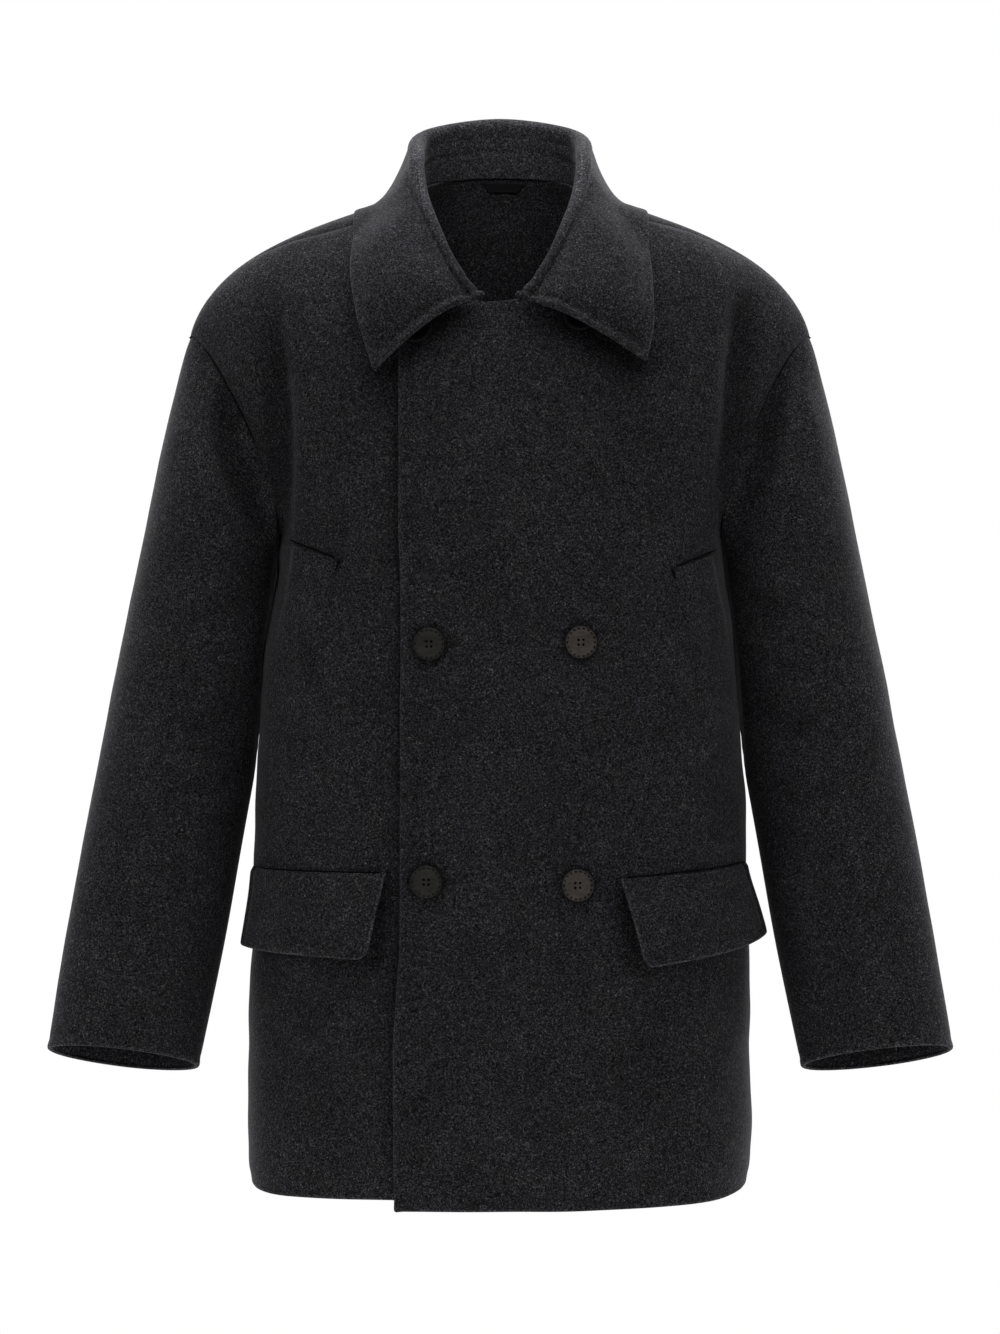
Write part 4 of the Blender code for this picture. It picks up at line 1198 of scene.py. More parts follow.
def open_tree(name, kind, inputs, outputs):
    """A node group with the named sockets (kind, default) in and out."""
    tree = bpy.data.node_groups.new(name, kind)
    new_sockets(tree, "INPUT", inputs)
    new_sockets(tree, "OUTPUT", outputs)
    return tree, tree.nodes.new("NodeGroupInput").outputs, tree.nodes.new("NodeGroupOutput").inputs


def open_shape(name, inputs):
    """A geometry tree with Geometry in and out, the named inputs and a material."""
    geometry = {"Geometry": ("NodeSocketGeometry", None)}
    material = {"Material": ("NodeSocketMaterial", None)}
    return open_tree(name, "GeometryNodeTree", {**geometry, **inputs, **material}, geometry)


def stitch_tree():
    """Thread stitches laid at even steps along a path that carries the cloth's normal as 'lie'."""
    tree, given, out = open_shape("stitch_row", {
        "Spacing": ("NodeSocketFloat", 0.001), "Length": ("NodeSocketFloat", 0.002),
        "Thread": ("NodeSocketFloat", 0.0002), "Turn": ("NodeSocketFloat", 0.0),
        "Uneven": ("NodeSocketFloat", 0.2), "Seed": ("NodeSocketInt", 3)})
    curve = add_node(tree, "GeometryNodeMeshToCurve", {"Mesh": given["Geometry"]})
    even = add_node(tree, "GeometryNodeResampleCurve", {"Curve": curve.outputs[0],
                                                        "Length": given["Spacing"]}, mode="LENGTH")
    lie = add_node(tree, "GeometryNodeInputNamedAttribute", {"Name": "lie"}, data_type="FLOAT_VECTOR")
    tangent = add_node(tree, "GeometryNodeInputTangent")
    axes = add_node(tree, "FunctionNodeAxesToRotation", {"Primary Axis": lie.outputs[0],
                                                         "Secondary Axis": tangent.outputs[0]},
                    primary_axis="Z", secondary_axis="X")
    jitter = add_node(tree, "FunctionNodeRandomValue", {
        2: maths(tree, "SUBTRACT", given["Turn"], given["Uneven"]),
        3: maths(tree, "ADD", given["Turn"], given["Uneven"]), "Seed": given["Seed"]}, data_type="FLOAT")
    twist = add_node(tree, "FunctionNodeAxisAngleToRotation", {"Axis": (0.0, 0.0, 1.0),
                                                               "Angle": jitter.outputs[1]})
    turned_axes = add_node(tree, "FunctionNodeRotateRotation", {"Rotation": axes.outputs[0],
                                                                "Rotate By": twist.outputs[0]},
                           rotation_space="LOCAL")
    bead = add_node(tree, "GeometryNodeMeshUVSphere", {"Segments": 6, "Rings": 5, "Radius": 0.5})
    size = add_node(tree, "ShaderNodeCombineXYZ", {"X": given["Length"], "Y": given["Thread"],
                                                   "Z": given["Thread"]})
    laid = add_node(tree, "GeometryNodeInstanceOnPoints", {
        "Points": even.outputs[0], "Instance": bead.outputs["Mesh"], "Rotation": turned_axes.outputs[0],
        "Scale": size.outputs[0]})
    return close_shape(tree, laid.outputs[0], given, out)


def dot_tree():
    """A ring of small sunk marks, even round a circle."""
    tree, given, out = open_shape("rim_dots", {
        "Count": ("NodeSocketInt", 20), "Ring": ("NodeSocketFloat", 0.01), "Dot": ("NodeSocketFloat", 0.0005),
        "Height": ("NodeSocketFloat", 0.0)})
    ring = add_node(tree, "GeometryNodeMeshCircle", {"Vertices": given["Count"], "Radius": given["Ring"]})
    place = add_node(tree, "ShaderNodeCombineXYZ", {"Z": given["Height"]})
    moved = add_node(tree, "GeometryNodeSetPosition", {"Geometry": ring.outputs[0],
                                                       "Offset": place.outputs[0]})
    where = add_node(tree, "GeometryNodeInputPosition")
    facing_out = add_node(tree, "FunctionNodeAlignRotationToVector", {"Vector": where.outputs[0]}, axis="X")
    dot = add_node(tree, "GeometryNodeMeshUVSphere", {"Segments": 8, "Rings": 5, "Radius": given["Dot"]})
    laid = add_node(tree, "GeometryNodeInstanceOnPoints", {
        "Points": moved.outputs[0], "Instance": dot.outputs["Mesh"], "Rotation": facing_out.outputs[0],
        "Scale": (0.75, 1.30, 0.40)})
    return close_shape(tree, laid.outputs[0], given, out)


def close_shape(tree, geometry, given, out):
    """The tree, ended with real geometry in the given material."""
    real = add_node(tree, "GeometryNodeRealizeInstances", {"Geometry": geometry})
    painted = add_node(tree, "GeometryNodeSetMaterial", {"Geometry": real.outputs[0],
                                                         "Material": given["Material"]})
    tree.links.new(painted.outputs[0], out[0])
    return tree


def grown_mesh(tree, source_mesh, name, **values):
    """Mesh that a tree makes from a source mesh with the named inputs."""
    holder = in_scene(name, source_mesh)
    modifier = holder.modifiers.new("tree", "NODES")
    modifier.node_group = tree
    for socket in tree.interface.items_tree:
        key = socket.name.lower()
        if socket.in_out == "INPUT" and key in values:
            modifier[socket.identifier] = values[key]
    mesh = evaluated_mesh(holder, name)
    bpy.data.objects.remove(holder)
    return mesh


def path_mesh(points, normals):
    """A path of edges that carries the cloth's normals."""
    mesh = bpy.data.meshes.new("path")
    mesh.from_pydata([tuple(p) for p in points], [(k, k + 1) for k in range(len(points) - 1)], [])
    lie = mesh.attributes.new("lie", "FLOAT_VECTOR", "POINT")
    lie.data.foreach_set("vector", np.asarray(normals, np.float32).ravel())
    return mesh


def joined(name, meshes):
    """One riding piece made of several meshes, each already in place."""
    bm = bmesh.new()
    for mesh in meshes:
        bm.from_mesh(mesh)
    piece = object_from(bm, name)
    for paint in meshes[0].materials:
        piece.data.materials.append(paint)
    piece.data.shade_smooth()
    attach(piece, BODY)
    return piece


# ---- finishes ----------------------------------------------------------------------------------
def noise(tree, position, scale, detail=2.0, roughness=0.5, distortion=0.0):
    """Output of a noise that is even in all directions."""
    made = add_node(tree, "ShaderNodeTexNoise", {"Vector": position, "Scale": scale, "Detail": detail,
                                                 "Roughness": roughness, "Distortion": distortion})
    return made.outputs[0]


def maths(tree, operation, first, second=None):
    """Result of a sum, difference, product or power."""
    return add_node(tree, "ShaderNodeMath", {0: first, 1: second}, operation=operation).outputs[0]


def scaled(tree, vector, factor):
    """A colour or vector times a factor."""
    return add_node(tree, "ShaderNodeVectorMath", {0: vector, 3: factor}, operation="SCALE").outputs[0]


def remapped(tree, value, low, high, new_low=0.0, new_high=1.0):
    """A value moved from one range to another and kept inside it."""
    return add_node(tree, "ShaderNodeMapRange", {"Value": value, "From Min": low, "From Max": high,
                                                 "To Min": new_low, "To Max": new_high}).outputs[0]


def made_once(make):
    """Make a material of a name only the first time it is asked for."""
    @functools.wraps(make)
    def known(name, *values):
        return bpy.data.materials.get(name) or make(name, *values)
    return known


def melange_group():
    """Mixed light and dark fibres of milled wool, and a little lint."""
    if "melange" in bpy.data.node_groups:
        return bpy.data.node_groups["melange"]
    tree, given, out = open_tree(
        "melange", "ShaderNodeTree",
        {"Position": ("NodeSocketVector", None), "Ground": ("NodeSocketColor", (0.015, 0.015, 0.016, 1.0)),
         "Fleck": ("NodeSocketFloat", 3.0), "Lint": ("NodeSocketFloat", 0.03)},
        {"Colour": ("NodeSocketColor", None), "Height": ("NodeSocketFloat", None),
         "Roughness": ("NodeSocketFloat", None)})
    position = given["Position"]
    fibre = noise(tree, position, 680.0, 2.0, 0.6, 0.5)
    tuft = noise(tree, position, 210.0, 1.0, 0.5, 0.4)
    fine = noise(tree, position, 1500.0, 1.0, 0.5)
    cloud = noise(tree, position, 26.0, 3.0, 0.55)
    fleck = maths(tree, "SUBTRACT", fibre, 0.5)
    for layer, weight in ((tuft, 0.14), (fine, 0.60), (cloud, 0.10)):
        part = maths(tree, "MULTIPLY", maths(tree, "SUBTRACT", layer, 0.5), weight)
        fleck = maths(tree, "ADD", fleck, part)
    factor = maths(tree, "EXPONENT", maths(tree, "MULTIPLY", fleck, given["Fleck"]))
    drift = maths(tree, "SUBTRACT", noise(tree, position, 42.0, 2.0, 0.6), 0.5)
    hue = add_node(tree, "ShaderNodeVectorMath", {0: drift, 1: (-0.12, -0.06, 0.26), 2: (1.0, 1.0, 1.0)},
                   operation="MULTIPLY_ADD")
    tinted = add_node(tree, "ShaderNodeVectorMath", {0: given["Ground"], 1: hue.outputs[0]},
                      operation="MULTIPLY")
    strand = remapped(tree, noise(tree, position, 620.0, 1.0, 0.5, 2.5), 0.64, 0.76)
    lint = scaled(tree, (1.0, 0.98, 0.95), maths(tree, "MULTIPLY", strand, given["Lint"]))
    colour = add_node(tree, "ShaderNodeVectorMath", {0: scaled(tree, tinted.outputs[0], factor), 1: lint},
                      operation="ADD")
    tree.links.new(colour.outputs[0], out["Colour"])
    tree.links.new(maths(tree, "ADD", fibre, maths(tree, "MULTIPLY", fine, 0.5)), out["Height"])
    tree.links.new(remapped(tree, fine, 0.3, 0.7, 0.85, 1.0), out["Roughness"])
    return tree


@made_once
def cloth_material(name, ground, fleck, lint=0.03, sheen=0.07, relief=0.0005):
    """Cloth of milled fibres; the fuzz shows as sheen, and a mask of painted light and shade lightens or
    darkens its colour.
    """
    made, tree, shader, position = blank_material(name)
    group = add_node(tree, "ShaderNodeGroup", {"Position": position, "Ground": (*ground, 1.0), "Fleck": fleck,
                                               "Lint": lint}, node_tree=melange_group())
    bump = add_node(tree, "ShaderNodeBump", {"Height": group.outputs["Height"], "Strength": 0.6,
                                             "Distance": relief})
    # painted light and shade: the colour is scaled by e to the power of the mask
    painted_shading = add_node(tree, "ShaderNodeAttribute", attribute_name="painted_shading")
    left = maths(tree, "EXPONENT", maths(tree, "MULTIPLY", painted_shading.outputs["Fac"], PAINTED_SHADING_SPAN))
    finish(tree, shader, {
        "Base Color": scaled(tree, group.outputs["Colour"], left), "Roughness": group.outputs["Roughness"],
        "Normal": bump.outputs[0], "Specular IOR Level": 0.02, "Sheen Weight": sheen, "Sheen Roughness": 0.30,
        "Sheen Tint": (0.94, 0.96, 1.0, 1.0)})
    return made


def blank_material(name):
    """A new material with its tree, its shader and the object's own coordinates."""
    made = bpy.data.materials.new(name)
    made.use_nodes = True
    tree = made.node_tree
    position = add_node(tree, "ShaderNodeTexCoord").outputs["Object"]
    return made, tree, tree.nodes["Principled BSDF"], position


def finish(tree, shader, values):
    """Feed or set the named inputs of a material's shader."""
    for label, value in values.items():
        tree_link(tree, shader, label, value)


@made_once
def horn_material(name, colour):
    """Matt horn with drifting cloudy streaks and fine scratches, and a rim darkened with painted shade."""
    made, tree, shader, position = blank_material(name)
    stretched = add_node(tree, "ShaderNodeMapping", {"Vector": position, "Scale": (1.0, 1.0, 2.6)})
    cloud = noise(tree, stretched.outputs[0], 90.0, 4.0, 0.6, 1.4)
    ramp = add_node(tree, "ShaderNodeValToRGB", {"Fac": cloud})
    for stop, (place, share) in zip(ramp.color_ramp.elements, ((0.35, 0.75), (0.68, 1.35))):
        stop.position = place
        stop.color = (*(share * value for value in colour), 1.0)
    scratch = noise(tree, position, 900.0, 2.0, 0.6, 1.0)
    bump = add_node(tree, "ShaderNodeBump", {"Height": scratch, "Strength": 0.15, "Distance": 0.0002})
    painted_rim_shade = add_node(tree, "ShaderNodeAttribute", attribute_name="painted_rim_shade")
    # painted shade: the colour falls to a twentieth towards the rim
    rim_shade_factor = remapped(tree, painted_rim_shade.outputs["Fac"], 0.0, 1.0, 1.0, 0.05)
    finish(tree, shader, {
        "Base Color": scaled(tree, ramp.outputs[0], rim_shade_factor), "Normal": bump.outputs[0],
        "Roughness": remapped(tree, scratch, 0.0, 1.0, 0.38, 0.58), "Specular IOR Level": 0.15})
    return made


@made_once
def thread_material(name, colour, shine=0.2):
    """Twisted thread."""
    made, tree, shader, position = blank_material(name)
    twist = remapped(tree, noise(tree, position, 2600.0, 1.0), 0.0, 1.0, 0.6, 1.4)
    finish(tree, shader, {"Base Color": scaled(tree, colour, twist), "Roughness": 0.6,
                          "Specular IOR Level": shine})
    return made


def floor_material():
    """Pale, slightly uneven floor."""
    made, tree, shader, position = blank_material("pale_floor")
    shade = remapped(tree, noise(tree, position, 6.0, 3.0), 0.0, 1.0, 0.80, 0.84)
    pale = add_node(tree, "ShaderNodeCombineXYZ", {"X": shade, "Y": shade, "Z": shade})
    finish(tree, shader, {"Base Color": pale.outputs[0], "Roughness": 0.9})
    return made


# ---- pieces ------------------------------------------------------------------------------------
def melton(settings):
    """The jacket's own cloth."""
    return cloth_material("milled_melton", settings.wool, settings.fleck)


def make_panel(settings, name, grid, shoulder, sides, free, creases, buttons=()):
    """One panel of the body: sewn at the named sides and its shoulder, faced at the hem and its free edge."""
    grid = sew(grid, sides, shoulder, settings.seam)
    wall = facing(grid, settings.cloth, settings.facing, (FOOT, *free))
    wall = pressed(wall, sewn_distance(grid, sides, shoulder))
    # painted highlight along the hem and free edges, less painted shade in troughs, under covering edges and
    # round buttons
    light = painted_edge_highlight(grid, (FOOT,), *HEM_HIGHLIGHT)
    if free:
        light = np.maximum(light, painted_edge_highlight(grid, free, *FRONT_HIGHLIGHT))
    painted_shading = light - painted_fold_shade(grid, creases, SHADOWED_EDGES.get(name, ()), buttons)
    cloth_piece(settings, name, grid, edge_reach(wall, shoulder), wall, painted_shading=painted_shading)


def make_body(settings):
    """Both fronts and the back."""
    for name in ("front_left", "front_right"):
        side = side_of(name)
        over = side > 0.0
        sewn, free = (RIGHT, LEFT) if over else (LEFT, RIGHT)
        grid, shoulder = front_grid(side, settings.folds)
        edge = edge_distance(grid, *free)
        height = edge_roll(edge, FRONT_ROLL * settings.roll)
        height = height + edge_roll(edge_distance(grid, *FOOT), HEM_ROLL * settings.roll)
        if over:
            height = height + EDGE_SPRING * bell(edge, SPRING_WIDTH)
        make_panel(settings, name, raised(grid, height), shoulder, (sewn,), (free,), FRONT_CREASES,
                   BUTTONS.values() if over else ())
    grid = back_grid(settings.folds)
    grid = raised(grid, edge_roll(edge_distance(grid, *FOOT), HEM_ROLL * settings.roll))
    shoulder = np.abs(grid[-1, :, 0]) >= NECK_SIDE[0] - 1e-4
    make_panel(settings, "back", grid, shoulder, (LEFT, RIGHT), (), BACK_CREASES)


def make_sleeves(settings):
    """Both sleeves, faced at the cuffs."""
    for name in ("sleeve_left", "sleeve_right"):
        grid = sleeve_grid(name, settings.folds)
        head, reach = edge_distance(grid, *HEAD), np.abs(grid[-1:, :, 0])
        height = edge_roll(edge_distance(grid, *FOOT), HEM_ROLL * settings.roll)
        height = height + seam_height(head, SLEEVE_SEAM * settings.seam)
        height = height - TIP_SINK * bell(reach - reach.max(), TIP_SPREAD) * bell(head, SINK_WIDTH)
        grid = raised(grid, height, True)
        wall = facing(grid, settings.cloth, settings.facing, (FOOT,))
        wall = pressed(wall, edge_distance(grid, *HEAD))
        front = grid[..., 1] < np.mean(grid[..., 1], axis=1, keepdims=True)
        # painted shade in the sleeve's troughs, and painted highlight at the cuff
        folds = np.where(front, *(painted_fold_shade(grid, SLEEVE_CREASES[name, face]) for face in ("front", "back")))
        cloth_piece(settings, name, grid, edge_reach(wall, True), wall, True,
                    painted_edge_highlight(grid, (FOOT,), *CUFF_HIGHLIGHT) - folds)


def over_button(grid, wall, frame_matrix, where):
    """The grid lifted softly where it would press on a button."""
    room, flat, width = BUTTON_PRESS
    place = np.array(frame_matrix.translation)
    normal = np.array(frame_matrix.col[2][:3])
    above = (grid - place) @ normal
    beside = np.linalg.norm(grid - place - above[..., None] * normal, axis=-1)
    near = 1.0 - smoothstep((beside - BUTTON_RADIUS - flat) / width)
    short = np.maximum(BUTTON_THICKNESS + room + wall - above, 0.0)
    return grid + normal * (short * near * where)[..., None]


def smoothed(grid, where, times):
    """The grid with the marked inner points drawn towards their neighbours."""
    weight = (where[1:-1, 1:-1] * 0.5)[..., None]
    for _ in range(times):
        inner = 0.25 * (grid[:-2, 1:-1] + grid[2:, 1:-1] + grid[1:-1, :-2] + grid[1:-1, 2:])
        grid = grid.copy()
        grid[1:-1, 1:-1] += (inner - grid[1:-1, 1:-1]) * weight
    return grid


def collar_height(grid, p, seam, settings):
    """Height of the groove at the collar's seam and of the low waves past its fold."""
    width, share = COLLAR_WAVES
    waves = smoothstep((p - FOLD_END) / width) * share * settings.folds * wave_height(grid)
    return seam_height(seam, COLLAR_SEAM * settings.seam) + waves


def collar_ends(grid):
    """1 at the collar's two front ends, 0 at its back."""
    length, start = COLLAR_ENDS
    return 1.0 - smoothstep(edge_near(grid, (LEFT, RIGHT)) / length - start)


def rolled_collar(grid, edges, ends, settings):
    """The grid with its free edges turned, most at the front ends."""
    back, front = COLLAR_ROLL
    return raised(grid, edge_roll(edge_near(grid, edges), settings.roll) * (back + front * ends))


def make_stand(settings):
    """The collar's stand, with a pressed line of stitching below the fold."""
    grid, p = collar_grid(np.linspace(0.0, 1.0, STAND_ROWS), -1)
    seam, ends = edge_distance(grid, *HEAD), collar_ends(grid)
    place, width, depth = STAND_TOPSTITCH
    wall = pressed(np.full(p.shape, COLLAR_CLOTH), seam)
    grid = raised(grid, collar_height(grid, p, seam, settings) - depth * bell(seam - place, width))
    grid = rolled_collar(grid, (LEFT, RIGHT), ends, settings)
    reach = edge_reach(wall, True)
    reach[0] = 0.0
    cloth_piece(settings, "collar_stand", grid, reach, wall, painted_shading=np.zeros(p.shape))


def make_fall(settings):
    """The collar's turned-down fall, laid on the body and over the top buttons."""
    folds = settings.folds
    (turn, low_rows), (edge, high_rows) = FALL_ROWS
    shares = np.concatenate((np.linspace(0.0, turn, low_rows), np.linspace(turn, edge, high_rows)[1:]))
    grid, p = collar_grid(shares, 1)
    edges = (HEAD, LEFT, RIGHT)
    seam, ends = edge_distance(grid, *FOOT), collar_ends(grid)
    thin = JOINT_WALL * COLLAR_CLOTH
    wall = pressed(facing(grid, thin, thin + (settings.leaf - thin) * ends, edges), seam)
    start, width = LEAF_FOOT
    clear = wall + COLLAR_CLEARANCE + LEAF_STAND_OFF * ends * smoothstep((p - start) / width)
    leaf = p > FOLD_END + LEAF_START
    tree = search_tree((front_grid(1.0, folds)[0], front_grid(-1.0, folds)[0], back_grid(folds)))
    grid = lay_on(raised(grid, collar_height(grid, p, seam, settings)), tree, clear, leaf)
    for button in ("button_right_top", "button_left_top"):
        grid = over_button(grid, wall, button_frame(button, folds), leaf)
    grid = lay_on(smoothed(grid, p > FOLD_END + SMOOTH_START, SMOOTH_TIMES), tree, clear, leaf)
    grid = rolled_collar(grid, edges, ends, settings)
    # painted highlight along the collar's edges and along the top of its fold at the back
    place, width, share = BACK_FOLD_HIGHLIGHT
    back, front = LEAF_HIGHLIGHT_SHARES
    painted_shading = (back + front * ends) * painted_edge_highlight(grid, edges, *LEAF_HIGHLIGHT)
    painted_shading = painted_shading + share * (1.0 - ends) * bell(p - place, width)
    cloth_piece(settings, "collar_fall", grid, edge_reach(wall, True), wall, painted_shading=painted_shading)


def flap_wall(up):
    """Wall of a flap, thinner at its sewn top."""
    share, start, width = FLAP_TOP
    return FLAP_WALL * (1.0 - share * smoothstep((up - start) / width))


def welt_height(across, up):
    """Height of a welt above the front: raised along its open top, flat along its sewn sides."""
    inner = smoothstep(across * 6.0 + np.maximum(up - 0.85, 0.0) * 4.0 + 0.10)
    return WELT_GAP + WELT_HEIGHT * smoothstep(up * 1.1) * inner * (1.0 - smoothstep((across - 0.8) * 5.0))


def make_pockets(settings):
    """Flaps of the side pockets and welts of the chest pockets."""
    free = (FOOT, LEFT, RIGHT)
    for name, (*corners, inner_lift, outer_lift) in FLAPS.items():
        def flap_height(across, up, inner=inner_lift, outer=outer_lift):
            power = FLAP_CURVE[0] + FLAP_CURVE[1] * across
            stand_off = (inner + (outer - inner) * across) * (1.0 - up)**power
            return stand_off + FLAP_GAP + flap_wall(up)

        grid, _, up = patch_grid(name, corners, FLAP_STEPS, FLAP_ROUNDING, flap_height, settings.folds)
        grid = raised(grid, edge_roll(edge_near(grid, free), FLAP_ROLL * settings.roll))
        wall = flap_wall(up)
        cloth_piece(settings, name, grid, 0.5 * wall, wall, painted_shading=painted_edge_highlight(grid, free, *FLAP_HIGHLIGHT))
    for name, corners in WELTS.items():
        grid, across, up = patch_grid(name, corners, WELT_STEPS, 0.0, welt_height, settings.folds)
        room, least = WELT_UNDERSIDE
        wall = np.maximum(welt_height(across, up) - room, least)
        cloth_piece(settings, name, grid, 0.5 * wall, wall)


def make_mouth_shadows(settings):
    """Painted shadow: a dark strip laid on the cloth as a fine line along the top of each welt and flap."""
    paint = cloth_material("pocketing", MOUTH_SHADOW_COLOUR, 1.0, 0.0, 0.0, 0.0002)
    meshes = []
    for name, corners in (*WELTS.items(), *FLAPS.items()):
        inner, outer, foot = (np.array(corner) for corner in corners[:3])
        end, fullness = (1.03, 1.0) if name in WELTS else (0.99, 0.7)
        line = inner + (outer - inner) * np.linspace(-0.03, end, 14)[:, None]
        if name in WELTS:
            line = np.concatenate(([inner + (foot - inner) * MOUTH_CORNER], line))
        along = unit(np.gradient(line, axis=0))
        above = np.stack((-along[:, 1], along[:, 0]), -1)
        width = fullness * (MOUTH_WIDTH * np.sin(np.pi * np.linspace(0.12, 0.95, len(line)))[:, None]**0.5)
        side = side_of(name)
        grid = np.array([seen_on_front(*(line + above * width * share).T, side, height, settings.folds)[0]
                         for share, height in MOUTH_ROWS])
        made = shell("mouth_" + name, grid if side > 0.0 else grid[:, ::-1], MOUTH_WALL, paint)
        meshes.append(made.data)
        bpy.data.objects.remove(made)
    joined("pocket_mouth_shadows", meshes)


def tab_grid():
    """Outer points of the tab inside the back, and the normals of its face."""
    across, up = np.meshgrid(np.linspace(-1.0, 1.0, 25), np.linspace(0.0, 1.0, 9))
    x = TAB_MIDDLE + (TAB_FOOT + (TAB_TOP - TAB_FOOT) * up) * across
    level = 1.0 - TAB_DROP - TAB_HEIGHT * (1.0 - up)
    s = NECK_SHARE * 2.0 / math.pi * np.arcsin(np.abs(x) / NECK_SIDE[0])
    grid = form(s, level, "back") - form_normal(s, level, "back") * (CLOTH + TAB_CLEARANCE)
    grid[..., 0] = np.copysign(grid[..., 0], x)
    return grid


def make_tab():
    """Blank woven tab under the neck seam, stitched down along its short sides."""
    grid = tab_grid()
    wall = np.full(grid.shape[:2], TAB_WALL)
    paint = cloth_material("tab_satin", SATIN, 1.2, 0.0, 0.05, 0.0002)
    dress(shell("cloth_neck_tab", inset(grid, 0.5 * wall), wall, paint), "neck_tab")
    normal = grid_normals(grid)
    tree, thread = stitch_tree(), thread_material("thread", THREAD)
    meshes = []
    for column in (1, -2):
        path = path_mesh(grid[:, column] + normal[:, column] * TAB_STITCH_LIFT, normal[:, column])
        meshes.append(grown_mesh(tree, path, "tab_stitch", turn=0.0, material=thread, **TAB_STITCH))
    joined("tab_stitches", meshes)


def button_paint(name, settings):
    """Horn of a button: darkened with painted shade under the collar, else light in the wearer's left column.
    """
    if "top" in name:
        return horn_material("horn_deep", [HORN_SHADE_SHARE * value for value in settings.horn_dark])
    if "left" in name:
        return horn_material("horn_light", settings.horn_light)
    return horn_material("horn_dark", settings.horn_dark)


def shank_mesh():
    """The thread between a button and the cloth."""
    foot, top, height, middle = SHANK
    bm = bmesh.new()
    bmesh.ops.create_cone(bm, cap_ends=True, segments=20, radius1=foot, radius2=top, depth=height,
                          matrix=Matrix.Translation((0.0, 0.0, middle)))
    mesh = mesh_from(bm, "shank")
    mesh.materials.append(thread_material("thread", THREAD))
    return mesh


def make_buttons(settings):
    """Six four-hole buttons, each with a ring of plain sunk marks and its thread."""
    blank, shank = button_mesh(), shank_mesh()
    ring = grown_mesh(dot_tree(), bpy.data.meshes.new("centre"), "rim_marks", count=DOT_COUNT,
                      ring=DOT_RING * BUTTON_RADIUS, dot=DOT_SIZE, height=DOT_HEIGHT * BUTTON_THICKNESS,
                      material=thread_material("rim_mark", RIM_MARK, 0.1))
    marks, shanks = [], []
    for name in BUTTONS:
        place = button_frame(name, settings.folds)
        mesh = blank.copy()
        mesh.transform(place)
        mesh.materials.clear()
        mesh.materials.append(button_paint(name, settings))
        dress(in_scene("horn_" + name, mesh), name)
        for made, meshes in ((ring, marks), (shank, shanks)):
            meshes.append(made.copy())
            meshes[-1].transform(place)
    joined("button_rim_marks", marks)
    joined("button_threads", shanks)


def stitched(tree, name, x, z, side, height, settings, **stitch):
    """Stitches across a line on a front seen at x, z."""
    points, normals = seen_on_front(x, z, side, height, settings.folds)
    return grown_mesh(tree, path_mesh(points, normals), name, turn=0.5 * math.pi,
                      material=thread_material("thread", THREAD), **stitch)


def make_stitching(settings):
    """Worked buttonholes of the overlapping front, and bar tacks at the chest pockets."""
    tree = stitch_tree()
    meshes = []
    turn = np.linspace(-0.5 * np.pi, 0.5 * np.pi, 9)
    for name, reach in BUTTONHOLES:
        x, z = BUTTONS[name]
        start = [x + HOLE_START]
        around_x = np.concatenate((start, x + reach + HOLE_HALF_WIDTH * np.cos(turn), start))
        around_z = z + HOLE_HALF_WIDTH * np.concatenate(([-1.0], np.sin(turn), [1.0]))
        meshes.append(stitched(tree, "buttonhole", around_x, around_z, 1.0, HOLE_HEIGHT, settings,
                               spacing=settings.stitch, **HOLE_STITCH))
    for corner in (0, 2):
        for name in WELTS:
            x, z = WELTS[name][corner]
            around_x = np.linspace(x - TACK_HALF_LENGTH, x + TACK_HALF_LENGTH, 5)
            meshes.append(stitched(tree, "bar_tack", around_x, np.full(5, z), side_of(name), TACK_HEIGHT,
                                   settings, **TACK_STITCH))
    joined("stitches", meshes)


def add_light(name, kind, power, place, aim, **properties):
    """A light at a place that looks at another."""
    light = bpy.data.lights.new(name, kind)
    light.energy = power
    for label, value in properties.items():
        setattr(light, label, value)
    made = in_scene(name, light)
    made.location = place
    made.rotation_euler = (Vector(aim) - Vector(place)).to_track_quat("-Z", "Y").to_euler()


def white_surround(strength):
    """White world that lights softly and is seen as plain white."""
    world = bpy.data.worlds.new("white_surround")
    world.use_nodes = True
    tree = world.node_tree
    tree.nodes.clear()
    white = (1.0, 1.0, 1.0, 1.0)
    lit = add_node(tree, "ShaderNodeBackground", {"Color": white, "Strength": strength})
    seen = add_node(tree, "ShaderNodeBackground", {"Color": white, "Strength": 1.0})
    ray = add_node(tree, "ShaderNodeLightPath")
    mixed = add_node(tree, "ShaderNodeMixShader", {0: ray.outputs["Is Camera Ray"], 1: lit.outputs[0],
                                                   2: seen.outputs[0]})
    add_node(tree, "ShaderNodeOutputWorld", {"Surface": mixed.outputs[0]})
    return world


